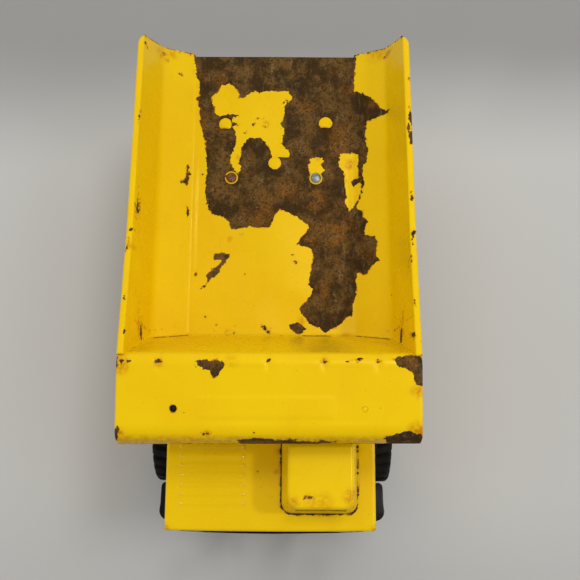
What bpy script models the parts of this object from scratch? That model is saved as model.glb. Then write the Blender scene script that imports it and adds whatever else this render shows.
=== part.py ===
"""Toy dump truck: a pressed-steel mining truck with a half-width cab and a tipping bed.

Frame: metres, +Z up, the truck's front faces -Y and its left side is +X. The origin is on the
ground, under the middle of the whole truck. The tipping pieces hang from the dump_pivot empty,
which stands on the bed's hinge line, and each wheel's pieces turn about their own origins.
"""

import math

import bmesh
import bpy
from mathutils import Vector

MM = 0.001
GAP = 0.3 * MM  # clear space between pieces that touch on the real toy
SEAM = 1.6 * MM  # the bed's front edge stands this far behind the leaning front wall
RUNNING = 0.06 * MM  # radial clearance of a wheel or an ear on its shaft
ROOM = 40 * MM  # how far a cutter reaches past the face that it cuts

# Pressed sheet
SHEET = 1.5 * MM
FRAME_SHEET = 2 * MM

# Bed: half widths and heights of its lines at the front wall and at the open tail
FLOOR_HALF_FRONT = 76 * MM
FLOOR_HALF_TAIL = 75 * MM
FLOOR_FRONT = Vector((0, -48 * MM, 150 * MM))
FLOOR_TAIL = Vector((0, 220.5 * MM, 163 * MM))
CREASE_HALF_FRONT = 106.5 * MM
CREASE_HALF_TAIL = 102 * MM
CREASE_Z_FRONT = 168 * MM
CREASE_Z_TAIL = 184 * MM
WALL_HALF = 114.6 * MM
RIM_HALF = 120 * MM
RIM_DOWN = 4 * MM
RIM_KINK = Vector((0, 22.5 * MM, 233 * MM))
RIM_TAIL = Vector((0, 208.5 * MM, 221 * MM))

# Canopy over the cab: the bend at the top of the front wall, the flat top and the front lip
CANOPY_BEND = Vector((0, -82.5 * MM, 250 * MM))
CANOPY_FRONT = Vector((0, -140 * MM, 242 * MM))
CANOPY_LIP = Vector((0, -149.8 * MM, 228 * MM))
CANOPY_FLANGE = 6 * MM
CANOPY_HOLE_X = 74.6 * MM
CANOPY_HOLE_Y = -125.2 * MM
CANOPY_HOLE_R = 2.8 * MM

# Hinge of the bed, and the rivets that hold its bracket to the floor
PIVOT = Vector((0, 150.5 * MM, 128 * MM))
PIVOT_R = 3 * MM
EAR_R = 8 * MM
BRACKET_HALF = 50 * MM
BRACKET_FRONT_Y = 86 * MM
BRACKET_REAR_Y = 168 * MM
BRACKET_EAR_X = 27.5 * MM
RIVET_X = 39 * MM
RIVET_Y = 98.5 * MM
RIVET_SHANK_R = 2 * MM

# Chassis channel
CHASSIS_HALF = 32 * MM
CHASSIS_FRONT_Y = -208.2 * MM
CHASSIS_REAR_Y = 167 * MM
CHASSIS_TOP = 118 * MM
CHASSIS_TOWER_TOP = 151.2 * MM
CHASSIS_TOWER_REAR_Y = -74 * MM
CHASSIS_BELLY = 84 * MM
CHASSIS_LOW = 46 * MM
REAR_EAR_TOP = 137 * MM

# Axles and wheels
AXLE_Z = 58 * MM
FRONT_AXLE_Y = -113.5 * MM
REAR_AXLE_Y = 111.5 * MM
AXLE_R = 2.5 * MM
AXLE_HALF = 109 * MM
TYRE_R = 58 * MM
TYRE_HALF = 18 * MM
TYRE_STEPS = 36
BEAD_R = 33 * MM
HUB_STEPS = 24
OUTER_WHEEL_X = 92 * MM
INNER_WHEEL_X = 54 * MM

# Hood, cab and front end
DECK_Z = 153 * MM
HOOD_HALF = 90 * MM
HOOD_FRONT_Y = -218 * MM
HOOD_CORNER_Y = -217.2 * MM
HOOD_REAR_Y = -72.5 * MM
HOOD_BOTTOM = 88 * MM
ARCH_R = 64 * MM
CAB_BASE_X = (9.3 * MM, 74.1 * MM)
CAB_ROOF_X = (14.4 * MM, 68.9 * MM)
CAB_BASE_Y = (-203 * MM, -105 * MM)
CAB_ROOF_Y = (-200.5 * MM, -108 * MM)
CAB_ROOF_Z = 203 * MM
CAB_CORNER = 9 * MM
CAB_ROOF_EDGE = 2.5 * MM
WINDSHIELD_X = (21 * MM, 63 * MM)
WINDSHIELD_Z = (172 * MM, 198 * MM)
GRILLE_HALF = 38 * MM
GRILLE_Z = (96 * MM, 142 * MM)
GRILLE_SLOTS = 6
LAMP_X = 64.5 * MM
LAMP_Z = 118 * MM
LAMP_R = 11.5 * MM
BUMPER_Z = (45 * MM, 85 * MM)
SCREW_X = 22 * MM
SCREW_Z = 66 * MM
SCREW_R = 2 * MM
SCREW_HEAD_R = 4.5 * MM
SCREW_SEAT = 3 * MM

# Support under the front of the bed
REST_HALF = 20 * MM
REST_Y = (-30 * MM, -6 * MM)
REST_TOP = 146.6 * MM

FLOOR_TILT = math.atan2(FLOOR_TAIL.z - FLOOR_FRONT.z, FLOOR_TAIL.y - FLOOR_FRONT.y)
WALL_LEAN = (CANOPY_BEND.y - FLOOR_FRONT.y) / (CANOPY_BEND.z - FLOOR_FRONT.z)
TAIL_LEAN = (RIM_TAIL.y - FLOOR_TAIL.y) / (RIM_TAIL.z - FLOOR_TAIL.z)
CANOPY_TILT = math.atan2(CANOPY_BEND.z - CANOPY_FRONT.z, CANOPY_BEND.y - CANOPY_FRONT.y)


# ---------------------------------------------------------------- scene and materials


def clear_scene():
    for obj in list(bpy.data.objects):
        bpy.data.objects.remove(obj, do_unlink=True)


def make_material(name, color, roughness, metallic=0.0, alpha=1.0):
    mat = bpy.data.materials.new(name)
    mat.use_nodes = True
    shader = mat.node_tree.nodes["Principled BSDF"]
    shader.inputs["Base Color"].default_value = (*color, 1.0)
    shader.inputs["Roughness"].default_value = roughness
    shader.inputs["Metallic"].default_value = metallic
    shader.inputs["Alpha"].default_value = alpha
    return mat


def make_materials():
    return {
        "paint": make_material("yellow_paint", (0.87, 0.53, 0.005), 0.25),
        "hub": make_material("hub_paint", (0.82, 0.50, 0.01), 0.4),
        "black": make_material("black_plastic", (0.012, 0.012, 0.013), 0.3),
        "tyre": make_material("tyre_rubber", (0.015, 0.015, 0.016), 0.6),
        "pad": make_material("pad_rubber", (0.02, 0.02, 0.02), 0.85),
        "steel": make_material("bright_steel", (0.5, 0.49, 0.47), 0.35, metallic=1.0),
        "lens": make_material("lamp_lens", (0.9, 0.88, 0.8), 0.1, alpha=0.6),
        "glazing": make_material("clear_glazing", (0.75, 0.8, 0.82), 0.05, alpha=0.35),
    }


# ---------------------------------------------------------------- building blocks


def add_object(name, bm, mat=None, smooth_under=None):
    """Closes a bmesh into a named object. smooth_under is the sharpest edge, in degrees, shaded smooth."""
    bmesh.ops.recalc_face_normals(bm, faces=bm.faces)
    mesh = bpy.data.meshes.new(name)
    bm.to_mesh(mesh)
    bm.free()
    if smooth_under is not None:
        mesh.shade_smooth()
        mesh.set_sharp_from_angle(angle=math.radians(smooth_under))
    obj = bpy.data.objects.new(name, mesh)
    bpy.context.scene.collection.objects.link(obj)
    if mat is not None:
        mesh.materials.append(mat)
    return obj


def as_cutter(obj):
    obj.hide_render = True
    obj.display_type = "WIRE"
    return obj


def boolean(target, tool, operation="DIFFERENCE"):
    as_cutter(tool)
    modifier = target.modifiers.new(tool.name, "BOOLEAN")
    modifier.operation = operation
    modifier.solver = "EXACT"
    modifier.object = tool


def prism(name, outline, low, high, axis, mat=None):
    """An outline swept straight from low to high along an axis: "X" takes (y, z) points,
    "Y" takes (x, z) points and "Z" takes (x, y) points."""
    place = {
        "X": lambda u, v, w: (w, u, v),
        "Y": lambda u, v, w: (u, w, v),
        "Z": lambda u, v, w: (u, v, w),
    }[axis]
    bm = bmesh.new()
    ends = [[bm.verts.new(place(u, v, w)) for u, v in outline] for w in (low, high)]
    bm.faces.new(ends[0])
    bm.faces.new(reversed(ends[1]))
    count = len(outline)
    for i in range(count):
        j = (i + 1) % count
        bm.faces.new((ends[0][i], ends[0][j], ends[1][j], ends[1][i]))
    return add_object(name, bm, mat)


def box(name, x, y, z, mat=None):
    """A block between two values on each axis."""
    outline = [(y[0], z[0]), (y[1], z[0]), (y[1], z[1]), (y[0], z[1])]
    return prism(name, outline, x[0], x[1], "X", mat)


def turned(name, profile, steps, axis, mat=None, smooth_under=40):
    """A closed profile of (radius, station) points turned about an axis through the origin.
    A point with no radius is one vertex on the axis."""
    place = {
        "X": lambda a, b, s: (s, a, b),
        "Y": lambda a, b, s: (a, s, b),
        "Z": lambda a, b, s: (a, b, s),
    }[axis]
    bm = bmesh.new()
    rings = []
    for radius, station in profile:
        if radius == 0:
            rings.append([bm.verts.new(place(0, 0, station))] * steps)
            continue
        ring = []
        for k in range(steps):
            # A vertex of each ring stands straight below the axis.
            turn = math.tau * k / steps - math.pi / 2
            ring.append(bm.verts.new(place(radius * math.cos(turn), radius * math.sin(turn), station)))
        rings.append(ring)
    for i, ring in enumerate(rings):
        after = rings[(i + 1) % len(rings)]
        for k in range(steps):
            n = (k + 1) % steps
            corners = dict.fromkeys((ring[k], ring[n], after[n], after[k]))
            if len(corners) > 2:
                bm.faces.new(tuple(corners))
    return add_object(name, bm, mat, smooth_under)


def rod(name, radius, low, high, steps, axis, mat=None):
    """A solid round bar along an axis through the origin."""
    return turned(name, [(0, low), (radius, low), (radius, high), (0, high)], steps, axis, mat)


def arc(center, radius, start, stop, steps):
    """Points on an arc, angles in degrees."""
    points = []
    for k in range(steps + 1):
        turn = math.radians(start + (stop - start) * k / steps)
        points.append((center[0] + radius * math.cos(turn), center[1] + radius * math.sin(turn)))
    return points


def sheet(name, rows, thickness, mat=None):
    """A pressed sheet. rows is a grid of points on its visible side, and the metal lies behind it.
    Seen from the visible side, a row runs from right to left and the rows follow each other down."""
    bm = bmesh.new()
    grid = [[bm.verts.new(point) for point in row] for row in rows]
    for upper, lower in zip(grid, grid[1:]):
        for k in range(len(upper) - 1):
            bm.faces.new((upper[k], upper[k + 1], lower[k + 1], lower[k]))
    mesh = bpy.data.meshes.new(name)
    bm.to_mesh(mesh)
    bm.free()
    obj = bpy.data.objects.new(name, mesh)
    bpy.context.scene.collection.objects.link(obj)
    if mat is not None:
        mesh.materials.append(mat)
    modifier = obj.modifiers.new("metal", "SOLIDIFY")
    modifier.thickness = thickness
    modifier.offset = -1.0
    modifier.use_even_offset = True
    modifier.use_quality_normals = True
    return obj


def blend(a, b, share):
    return a + (b - a) * share


def hang_on_pivot(obj, pivot):
    """Parents an object whose mesh is in world coordinates to the pivot empty."""
    obj.parent = pivot
    obj.location = obj.location - pivot.location
    return obj


# ---------------------------------------------------------------- tipping bed


def floor_z(y):
    """Height of the bed's floor at a distance along the truck."""
    share = (y - FLOOR_FRONT.y) / (FLOOR_TAIL.y - FLOOR_FRONT.y)
    return blend(FLOOR_FRONT.z, FLOOR_TAIL.z, share)


def wall_y(z):
    """Where the leaning front wall stands at a height."""
    return FLOOR_FRONT.y + WALL_LEAN * (z - FLOOR_FRONT.z)


def section(floor_point, floor_half, crease_point, crease_half, rim_point):
    """One cross-section of the bed's visible side, from its right rim (-X) to its left rim."""
    half = [
        Vector((floor_half, floor_point.y, floor_point.z)),
        Vector((crease_half, crease_point.y, crease_point.z)),
        Vector((WALL_HALF, rim_point.y, rim_point.z)),
        Vector((RIM_HALF, rim_point.y, rim_point.z)),
        Vector((RIM_HALF, rim_point.y, rim_point.z - RIM_DOWN)),
    ]
    mirrored = [Vector((-p.x, p.y, p.z)) for p in reversed(half)]
    return mirrored + half


def bed_sections():
    """The bed's sections just behind the front wall, at the rim's kink and at the open tail."""
    behind = Vector((0, SEAM, 0))
    crease_front = Vector((0, wall_y(CREASE_Z_FRONT), CREASE_Z_FRONT))
    tail_y = FLOOR_TAIL.y + TAIL_LEAN * (CREASE_Z_TAIL - FLOOR_TAIL.z)
    crease_tail = Vector((0, tail_y, CREASE_Z_TAIL))
    share = (RIM_KINK.y - FLOOR_FRONT.y) / (FLOOR_TAIL.y - FLOOR_FRONT.y)
    front = section(
        FLOOR_FRONT + behind,
        FLOOR_HALF_FRONT,
        crease_front + behind,
        CREASE_HALF_FRONT,
        CANOPY_BEND + behind,
    )
    middle = section(
        blend(FLOOR_FRONT, FLOOR_TAIL, share),
        blend(FLOOR_HALF_FRONT, FLOOR_HALF_TAIL, share),
        blend(crease_front, crease_tail, share),
        blend(CREASE_HALF_FRONT, CREASE_HALF_TAIL, share),
        RIM_KINK,
    )
    tail = section(FLOOR_TAIL, FLOOR_HALF_TAIL, crease_tail, CREASE_HALF_TAIL, RIM_TAIL)
    return [front, middle, tail]


def rivet_hole(name, x, y):
    """A cutter square to the tilted floor."""
    cutter = rod(name, RIVET_SHANK_R + RUNNING, -10 * MM, 10 * MM, 16, "Z")
    cutter.location = (x, y, floor_z(y))
    cutter.rotation_euler = (FLOOR_TILT, 0, 0)
    return cutter


def build_bed_shell(mat):
    bed = sheet("bed_shell", bed_sections(), SHEET, mat)
    boolean(bed, rivet_hole("bed_rivet_hole_left", RIVET_X, RIVET_Y))
    boolean(bed, rivet_hole("bed_rivet_hole_right", -RIVET_X, RIVET_Y))
    return bed


def canopy_row(half, point, ahead):
    """A row across the canopy stamping, whose side flanges are turned ahead by a vector."""
    left = Vector((half, point.y, point.z))
    right = Vector((-half, point.y, point.z))
    return [left + ahead, left, right, right + ahead]


def build_canopy_panel(mat):
    down = Vector((0, 0, -CANOPY_FLANGE))
    ahead = Vector((0, -CANOPY_FLANGE * math.cos(WALL_LEAN), CANOPY_FLANGE * math.sin(WALL_LEAN)))
    lap = SHEET + GAP
    foot_z = FLOOR_FRONT.z - lap
    crease_z = CREASE_Z_FRONT - lap
    corner_z = blend(CREASE_Z_FRONT, CANOPY_BEND.z, 0.92)
    lip_mid = Vector((0, -147.3 * MM, 237.5 * MM))
    lip_end = CANOPY_LIP
    rows = [
        canopy_row(FLOOR_HALF_FRONT + lap, Vector((0, wall_y(foot_z), foot_z)), ahead),
        canopy_row(CREASE_HALF_FRONT + lap, Vector((0, wall_y(crease_z), crease_z)), ahead),
        canopy_row(RIM_HALF - 1 * MM, Vector((0, wall_y(corner_z), corner_z)), ahead),
        canopy_row(RIM_HALF, CANOPY_BEND, (down + ahead) / 2),
        canopy_row(RIM_HALF, CANOPY_FRONT, down),
        canopy_row(RIM_HALF, lip_mid, down + Vector((0, 3 * MM, 0))),
        canopy_row(RIM_HALF, lip_end, Vector((0, CANOPY_FLANGE, 0))),
    ]
    canopy = sheet("canopy_panel", rows, SHEET, mat)
    for side, radius, name in (
        (-1, CANOPY_HOLE_R, "canopy_open_hole"),
        (1, RIVET_SHANK_R + RUNNING, "canopy_rivet_hole"),
    ):
        cutter = rod(name, radius, -10 * MM, 10 * MM, 20, "Z")
        cutter.location = (side * CANOPY_HOLE_X, CANOPY_HOLE_Y, canopy_z(CANOPY_HOLE_Y))
        cutter.rotation_euler = (CANOPY_TILT, 0, 0)
        boolean(canopy, cutter)
    return canopy


def canopy_z(y):
    share = (y - CANOPY_FRONT.y) / (CANOPY_BEND.y - CANOPY_FRONT.y)
    return blend(CANOPY_FRONT.z, CANOPY_BEND.z, share)


def build_canopy_rivet(mat):
    """Its shank is flush with the canopy's top and its head is turned over underneath."""
    head = 3.5 * MM
    under = SHEET + GAP
    profile = [
        (0, -0.1 * MM),
        (RIVET_SHANK_R, -0.1 * MM),
        (RIVET_SHANK_R, -under),
        (head, -under),
        (head * 0.8, -under - 1.2 * MM),
        (0, -under - 1.6 * MM),
    ]
    rivet = turned("canopy_rivet", profile, 16, "Z", mat)
    rivet.location = (CANOPY_HOLE_X, CANOPY_HOLE_Y, canopy_z(CANOPY_HOLE_Y))
    rivet.rotation_euler = (CANOPY_TILT, 0, 0)
    return rivet


def build_bed_rivet(name, side, mat):
    """A domed head on the floor, a shank through the floor and the bracket, and a head below."""
    head = 5 * MM
    below = -(2 * SHEET + 2 * GAP)
    profile = [
        (0, 1.8 * MM),
        (head * 0.55, 1.5 * MM),
        (head * 0.9, 0.9 * MM),
        (head, GAP),
        (RIVET_SHANK_R, GAP),
        (RIVET_SHANK_R, below),
        (3.5 * MM, below),
        (3 * MM, below - 1.2 * MM),
        (0, below - 1.6 * MM),
    ]
    rivet = turned(name, profile, 16, "Z", mat)
    rivet.location = (side * RIVET_X, RIVET_Y, floor_z(RIVET_Y))
    rivet.rotation_euler = (FLOOR_TILT, 0, 0)
    return rivet


def build_hinge_bracket(mat):
    """A plate under the floor with two ears down to the pivot rod."""
    top = -SHEET - GAP
    ends = (BRACKET_FRONT_Y, BRACKET_REAR_Y)
    outline = [(y, floor_z(y) + top) for y in ends]
    outline += [(y, floor_z(y) + top - SHEET) for y in reversed(ends)]
    bracket = prism("bed_hinge_bracket", outline, -BRACKET_HALF, BRACKET_HALF, "X", mat)
    ear_top = floor_z(PIVOT.y) + top - SHEET / 2
    ear = [(PIVOT.y + 2.2 * EAR_R, ear_top), (PIVOT.y - 3 * EAR_R, ear_top - 1 * MM)]
    ear += arc((PIVOT.y, PIVOT.z), EAR_R, 200, 340, 8)
    for side in (-1, 1):
        inner = side * (BRACKET_EAR_X - FRAME_SHEET)
        outer = side * BRACKET_EAR_X
        plate = prism(f"bracket_ear_{side}", ear, min(inner, outer), max(inner, outer), "X")
        boolean(bracket, plate, "UNION")
        boolean(bracket, rivet_hole(f"bracket_rivet_hole_{side}", side * RIVET_X, RIVET_Y))
    bore = rod("bracket_pivot_bore", PIVOT_R + RUNNING, -ROOM, ROOM, 24, "X")
    bore.location = PIVOT
    boolean(bracket, bore)
    return bracket


# ---------------------------------------------------------------- chassis


def build_chassis(mat):
    """A folded strip for the front, tower, deck and tail, between two side plates."""
    wall = FRAME_SHEET
    strip = [
        (CHASSIS_FRONT_Y, CHASSIS_LOW),
        (CHASSIS_FRONT_Y, CHASSIS_TOWER_TOP),
        (CHASSIS_TOWER_REAR_Y, CHASSIS_TOWER_TOP),
        (CHASSIS_TOWER_REAR_Y, CHASSIS_TOP),
        (CHASSIS_REAR_Y, CHASSIS_TOP),
        (CHASSIS_REAR_Y, CHASSIS_BELLY),
        (CHASSIS_REAR_Y - wall, CHASSIS_BELLY),
        (CHASSIS_REAR_Y - wall, CHASSIS_TOP - wall),
        (CHASSIS_TOWER_REAR_Y - wall, CHASSIS_TOP - wall),
        (CHASSIS_TOWER_REAR_Y - wall, CHASSIS_TOWER_TOP - wall),
        (CHASSIS_FRONT_Y + wall, CHASSIS_TOWER_TOP - wall),
        (CHASSIS_FRONT_Y + wall, CHASSIS_LOW),
    ]
    half = CHASSIS_HALF - wall - GAP
    frame = prism("chassis_frame", strip, -half, half, "X", mat)
    for side in (-1, 1):
        hole = rod(f"chassis_screw_hole_{side}", SCREW_R + RUNNING, -10 * MM, 10 * MM, 16, "Y")
        hole.location = (side * SCREW_X, CHASSIS_FRONT_Y, SCREW_Z)
        boolean(frame, hole)
    for hand, x in (("left", CHASSIS_HALF - wall), ("right", -CHASSIS_HALF)):
        build_chassis_plate(f"chassis_plate_{hand}", x, x + wall, mat)


def build_chassis_plate(name, low_x, high_x, mat):
    """A side plate with drops for the axles and an ear for the bed's rod."""
    drop = 15.5 * MM
    slope = 13 * MM
    outline = [
        (CHASSIS_FRONT_Y, CHASSIS_LOW),
        (CHASSIS_FRONT_Y, CHASSIS_TOWER_TOP),
        (CHASSIS_TOWER_REAR_Y, CHASSIS_TOWER_TOP),
        (CHASSIS_TOWER_REAR_Y, CHASSIS_TOP),
        (PIVOT.y - 14 * MM, CHASSIS_TOP),
        (PIVOT.y - EAR_R, REAR_EAR_TOP),
        (PIVOT.y + EAR_R, REAR_EAR_TOP),
        (PIVOT.y + 12 * MM, CHASSIS_TOP),
        (CHASSIS_REAR_Y, CHASSIS_TOP),
        (CHASSIS_REAR_Y, CHASSIS_BELLY),
        (REAR_AXLE_Y + drop + slope, CHASSIS_BELLY),
        (REAR_AXLE_Y + drop, CHASSIS_LOW),
        (REAR_AXLE_Y - drop, CHASSIS_LOW),
        (REAR_AXLE_Y - drop - slope, CHASSIS_BELLY),
        (FRONT_AXLE_Y + drop + slope, CHASSIS_BELLY),
        (FRONT_AXLE_Y + drop, CHASSIS_LOW),
    ]
    plate = prism(name, outline, low_x, high_x, "X", mat)
    for label, y, z, radius in (
        ("front_axle_hole", FRONT_AXLE_Y, AXLE_Z, AXLE_R),
        ("rear_axle_hole", REAR_AXLE_Y, AXLE_Z, AXLE_R),
        ("pivot_hole", PIVOT.y, PIVOT.z, PIVOT_R),
    ):
        hole = rod(f"{name}_{label}", radius + RUNNING, -ROOM, ROOM, 24, "X")
        hole.location = (0, y, z)
        boolean(plate, hole)


def build_shaft(name, radius, half, y, z, mat):
    shaft = rod(name, radius, -half, half, 24, "X", mat)
    shaft.location = (0, y, z)
    return shaft


def build_shaft_cap(name, side, radius, end_x, y, z, mat):
    """A domed push-on cap: a cup over the end of a shaft, open towards the truck's middle."""
    outer = radius + 2.5 * MM
    depth = 4 * MM
    profile = [
        (0, 2.2 * MM),
        (outer * 0.6, 1.8 * MM),
        (outer, 0),
        (outer, -depth),
        (radius + RUNNING, -depth),
        (radius + RUNNING, GAP),
        (0, GAP),
    ]
    profile = [(r, side * station) for r, station in profile]
    cap = turned(name, profile, 24, "X", mat)
    cap.location = (side * end_x, y, z)
    return cap


def build_axle_spacer(name, side, mat):
    """A tube on the front axle between the chassis and the wheel."""
    inner = CHASSIS_HALF + GAP
    outer = OUTER_WHEEL_X - TYRE_HALF - GAP
    bore = AXLE_R + RUNNING
    profile = [(bore, inner), (AXLE_R + 2 * MM, inner), (AXLE_R + 2 * MM, outer), (bore, outer)]
    tube = turned(name, [(r, side * x) for r, x in profile], 24, "X", mat)
    tube.location = (0, FRONT_AXLE_Y, AXLE_Z)
    return tube


def build_rest_bracket(mat):
    """A bridge on the chassis under the front of the bed."""
    foot = CHASSIS_TOP + GAP
    inside = REST_HALF - FRAME_SHEET
    outline = [
        (-REST_HALF, foot),
        (-REST_HALF, REST_TOP),
        (REST_HALF, REST_TOP),
        (REST_HALF, foot),
        (inside, foot),
        (inside, REST_TOP - FRAME_SHEET),
        (-inside, REST_TOP - FRAME_SHEET),
        (-inside, foot),
    ]
    return prism("bed_rest_bracket", outline, REST_Y[0], REST_Y[1], "Y", mat)


def build_rest_pad(mat):
    """A strip between the bridge and the bed's floor, as thick as the space that is left."""
    bottom = REST_TOP + GAP
    outline = [(REST_Y[0], bottom), (REST_Y[1], bottom)]
    outline += [(y, floor_z(y) - SHEET - GAP) for y in (REST_Y[1], REST_Y[0])]
    return prism("bed_rest_pad", outline, -REST_HALF, REST_HALF, "X", mat)


# ---------------------------------------------------------------- hood, cab and front end


def build_hood(mat):
    """Deck, front face and side skirts in one stamping, open behind and below."""
    outline = [
        (-HOOD_HALF, HOOD_REAR_Y),
        (-HOOD_HALF, HOOD_CORNER_Y),
        (-HOOD_HALF / 2, blend(HOOD_CORNER_Y, HOOD_FRONT_Y, 0.75)),
        (0, HOOD_FRONT_Y),
        (HOOD_HALF / 2, blend(HOOD_CORNER_Y, HOOD_FRONT_Y, 0.75)),
        (HOOD_HALF, HOOD_CORNER_Y),
        (HOOD_HALF, HOOD_REAR_Y),
    ]
    hood = prism("hood_shell", outline, HOOD_BOTTOM, DECK_Z, "Z", mat)
    inside = HOOD_HALF - SHEET
    boolean(
        hood,
        box(
            "hood_hollow",
            (-inside, inside),
            (HOOD_CORNER_Y + SHEET, HOOD_REAR_Y + ROOM),
            (HOOD_BOTTOM - ROOM, DECK_Z - SHEET),
        ),
    )
    arch = rod("wheel_arches", ARCH_R, -HOOD_HALF - ROOM, HOOD_HALF + ROOM, 32, "X")
    arch.location = (0, FRONT_AXLE_Y, AXLE_Z)
    boolean(hood, arch)
    front_y = (HOOD_FRONT_Y - ROOM, HOOD_FRONT_Y + 10 * MM)
    boolean(hood, box("grille_opening", (-GRILLE_HALF, GRILLE_HALF), front_y, GRILLE_Z))
    for side in (-1, 1):
        hole = rod(f"lamp_hole_{side}", LAMP_R, -20 * MM, 20 * MM, 24, "Y")
        hole.location = (side * LAMP_X, HOOD_FRONT_Y, LAMP_Z)
        boolean(hood, hole)
    return hood


def rounded_rectangle(x, y, radius):
    """Points round a rectangle with rounded corners, four to a corner."""
    points = []
    corners = ((x[1], y[1], 0), (x[0], y[1], 90), (x[0], y[0], 180), (x[1], y[0], 270))
    for corner_x, corner_y, start in corners:
        center_x = corner_x - math.copysign(radius, corner_x - sum(x) / 2)
        center_y = corner_y - math.copysign(radius, corner_y - sum(y) / 2)
        points += arc((center_x, center_y), radius, start, start + 90, 3)
    return points


def lofted(name, rings, mat=None, smooth_under=None):
    """A closed solid through rings of (x, y) outlines at given heights, capped at both ends."""
    bm = bmesh.new()
    loops = [[bm.verts.new((x, y, z)) for x, y in outline] for outline, z in rings]
    bm.faces.new(loops[0])
    bm.faces.new(reversed(loops[-1]))
    for lower, upper in zip(loops, loops[1:]):
        for k in range(len(lower)):
            n = (k + 1) % len(lower)
            bm.faces.new((lower[k], lower[n], upper[n], upper[k]))
    return add_object(name, bm, mat, smooth_under)


def cab_rings(inset, bottom, top):
    """The cab's outline from its foot to its roof, moved in by a wall's thickness."""
    base_x = (CAB_BASE_X[0] + inset, CAB_BASE_X[1] - inset)
    base_y = (CAB_BASE_Y[0] + inset, CAB_BASE_Y[1] - inset)
    roof_x = (CAB_ROOF_X[0] + inset, CAB_ROOF_X[1] - inset)
    roof_y = (CAB_ROOF_Y[0] + inset, CAB_ROOF_Y[1] - inset)
    edge = CAB_ROOF_EDGE
    crown_x = (roof_x[0] + edge, roof_x[1] - edge)
    crown_y = (roof_y[0] + edge, roof_y[1] - edge)
    radius = CAB_CORNER - inset
    return [
        (rounded_rectangle(base_x, base_y, radius), bottom),
        (rounded_rectangle(roof_x, roof_y, radius), top - edge),
        (rounded_rectangle(crown_x, crown_y, radius - edge), top),
    ]


def build_cab(mat):
    """A half-width cab pressed in one piece, open below, with a windshield opening."""
    foot = DECK_Z + GAP
    cab = lofted("cab_shell", cab_rings(0, foot, CAB_ROOF_Z), mat, 30)
    boolean(cab, lofted("cab_hollow", cab_rings(SHEET, foot - 5 * MM, CAB_ROOF_Z - SHEET)))
    front_y = (CAB_BASE_Y[0] - ROOM, CAB_BASE_Y[0] + 12 * MM)
    boolean(cab, box("windshield_opening", WINDSHIELD_X, front_y, WINDSHIELD_Z))
    return cab


def build_cab_window(mat):
    margin = 2 * MM
    front = CAB_ROOF_Y[0] + SHEET + 2.2 * MM
    x = (WINDSHIELD_X[0] - margin, WINDSHIELD_X[1] + margin)
    z = (WINDSHIELD_Z[0] - margin, WINDSHIELD_Z[1] + 1 * MM)
    return box("cab_window", x, (front, front + 1 * MM), z, mat)


def build_grille(mat):
    """A plate with level slots, let into the hood's front face."""
    half = GRILLE_HALF - GAP
    low = GRILLE_Z[0] + GAP
    high = GRILLE_Z[1] - GAP
    back = HOOD_FRONT_Y + 2.8 * MM
    front = HOOD_FRONT_Y + 0.8 * MM
    grille = box("front_grille", (-half, half), (front, back), (low, high), mat)
    pitch = (high - low) / (GRILLE_SLOTS + 1)
    for k in range(GRILLE_SLOTS):
        middle = low + pitch * (k + 1)
        slot = box(
            f"grille_slot_{k}",
            (-half + 4 * MM, half - 4 * MM),
            (front - ROOM, back + ROOM),
            (middle - pitch / 4, middle + pitch / 4),
        )
        boolean(grille, slot)
    return grille


def build_headlight(name, side, mat):
    """A domed lens with a rim behind the hood's front face."""
    face = HOOD_CORNER_Y + SHEET + GAP
    lens = LAMP_R - GAP
    profile = [
        (0, HOOD_FRONT_Y - 0.6 * MM),
        (lens * 0.6, HOOD_FRONT_Y - 0.3 * MM),
        (lens, HOOD_FRONT_Y + 0.8 * MM),
        (lens, face),
        (lens + 2.5 * MM, face),
        (lens + 2.5 * MM, face + 2 * MM),
        (0, face + 2 * MM),
    ]
    lamp = turned(name, profile, 24, "Y", mat)
    lamp.location = (side * LAMP_X, 0, LAMP_Z)
    return lamp


def bumper_outline():
    """The bumper seen from above: a slightly bowed bar whose ends swell and run back towards
    the tyres. The points are given for the left side, from the middle of the front."""
    front = [(0, -220.5), (30, -220.2), (60, -219.4), (84, -218.1), (86.3, -216), (87, -212)]
    swell = arc((95, -200), 8.7, -120, 0, 6)
    outer = [(102.9, -193.5), (102.5, -178.5)]
    end = arc((98, -178.5), 4.5, 30, 150, 4)
    inner = [(93.2, -180), (90, -184.5), (84, -186), (79, -191), (75, -204), (68, -208.5)]
    left = [(x * MM, y * MM) for x, y in front + swell + outer + end + inner]
    right = [(-x, y) for x, y in reversed(left[1:])]
    return left + right


def build_bumper(mat):
    bumper = prism("front_bumper", bumper_outline(), BUMPER_Z[0], BUMPER_Z[1], "Z", mat)
    front = bumper_outline()[0][1]
    for side in (-1, 1):
        for name, radius, depth in (
            ("seat", SCREW_HEAD_R + GAP, SCREW_SEAT),
            ("hole", SCREW_R + RUNNING, ROOM),
        ):
            cutter = rod(f"bumper_{name}_{side}", radius, -ROOM, depth, 20, "Y")
            cutter.location = (side * SCREW_X, front, SCREW_Z)
            boolean(bumper, cutter)
    return bumper


def build_bumper_screw(name, side, mat):
    """A round-headed screw in its seat, through the bumper and the chassis's front plate."""
    seat = bumper_outline()[0][1] + SCREW_SEAT - GAP
    tip = CHASSIS_FRONT_Y + 6 * MM
    profile = [
        (0, seat - 2.4 * MM),
        (SCREW_HEAD_R * 0.6, seat - 2.2 * MM),
        (SCREW_HEAD_R, seat - 1.2 * MM),
        (SCREW_HEAD_R, seat),
        (SCREW_R, seat),
        (SCREW_R, tip),
        (0, tip),
    ]
    screw = turned(name, profile, 20, "Y", mat)
    screw.location = (side * SCREW_X, 0, SCREW_Z)
    return screw


# ---------------------------------------------------------------- wheels


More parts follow.
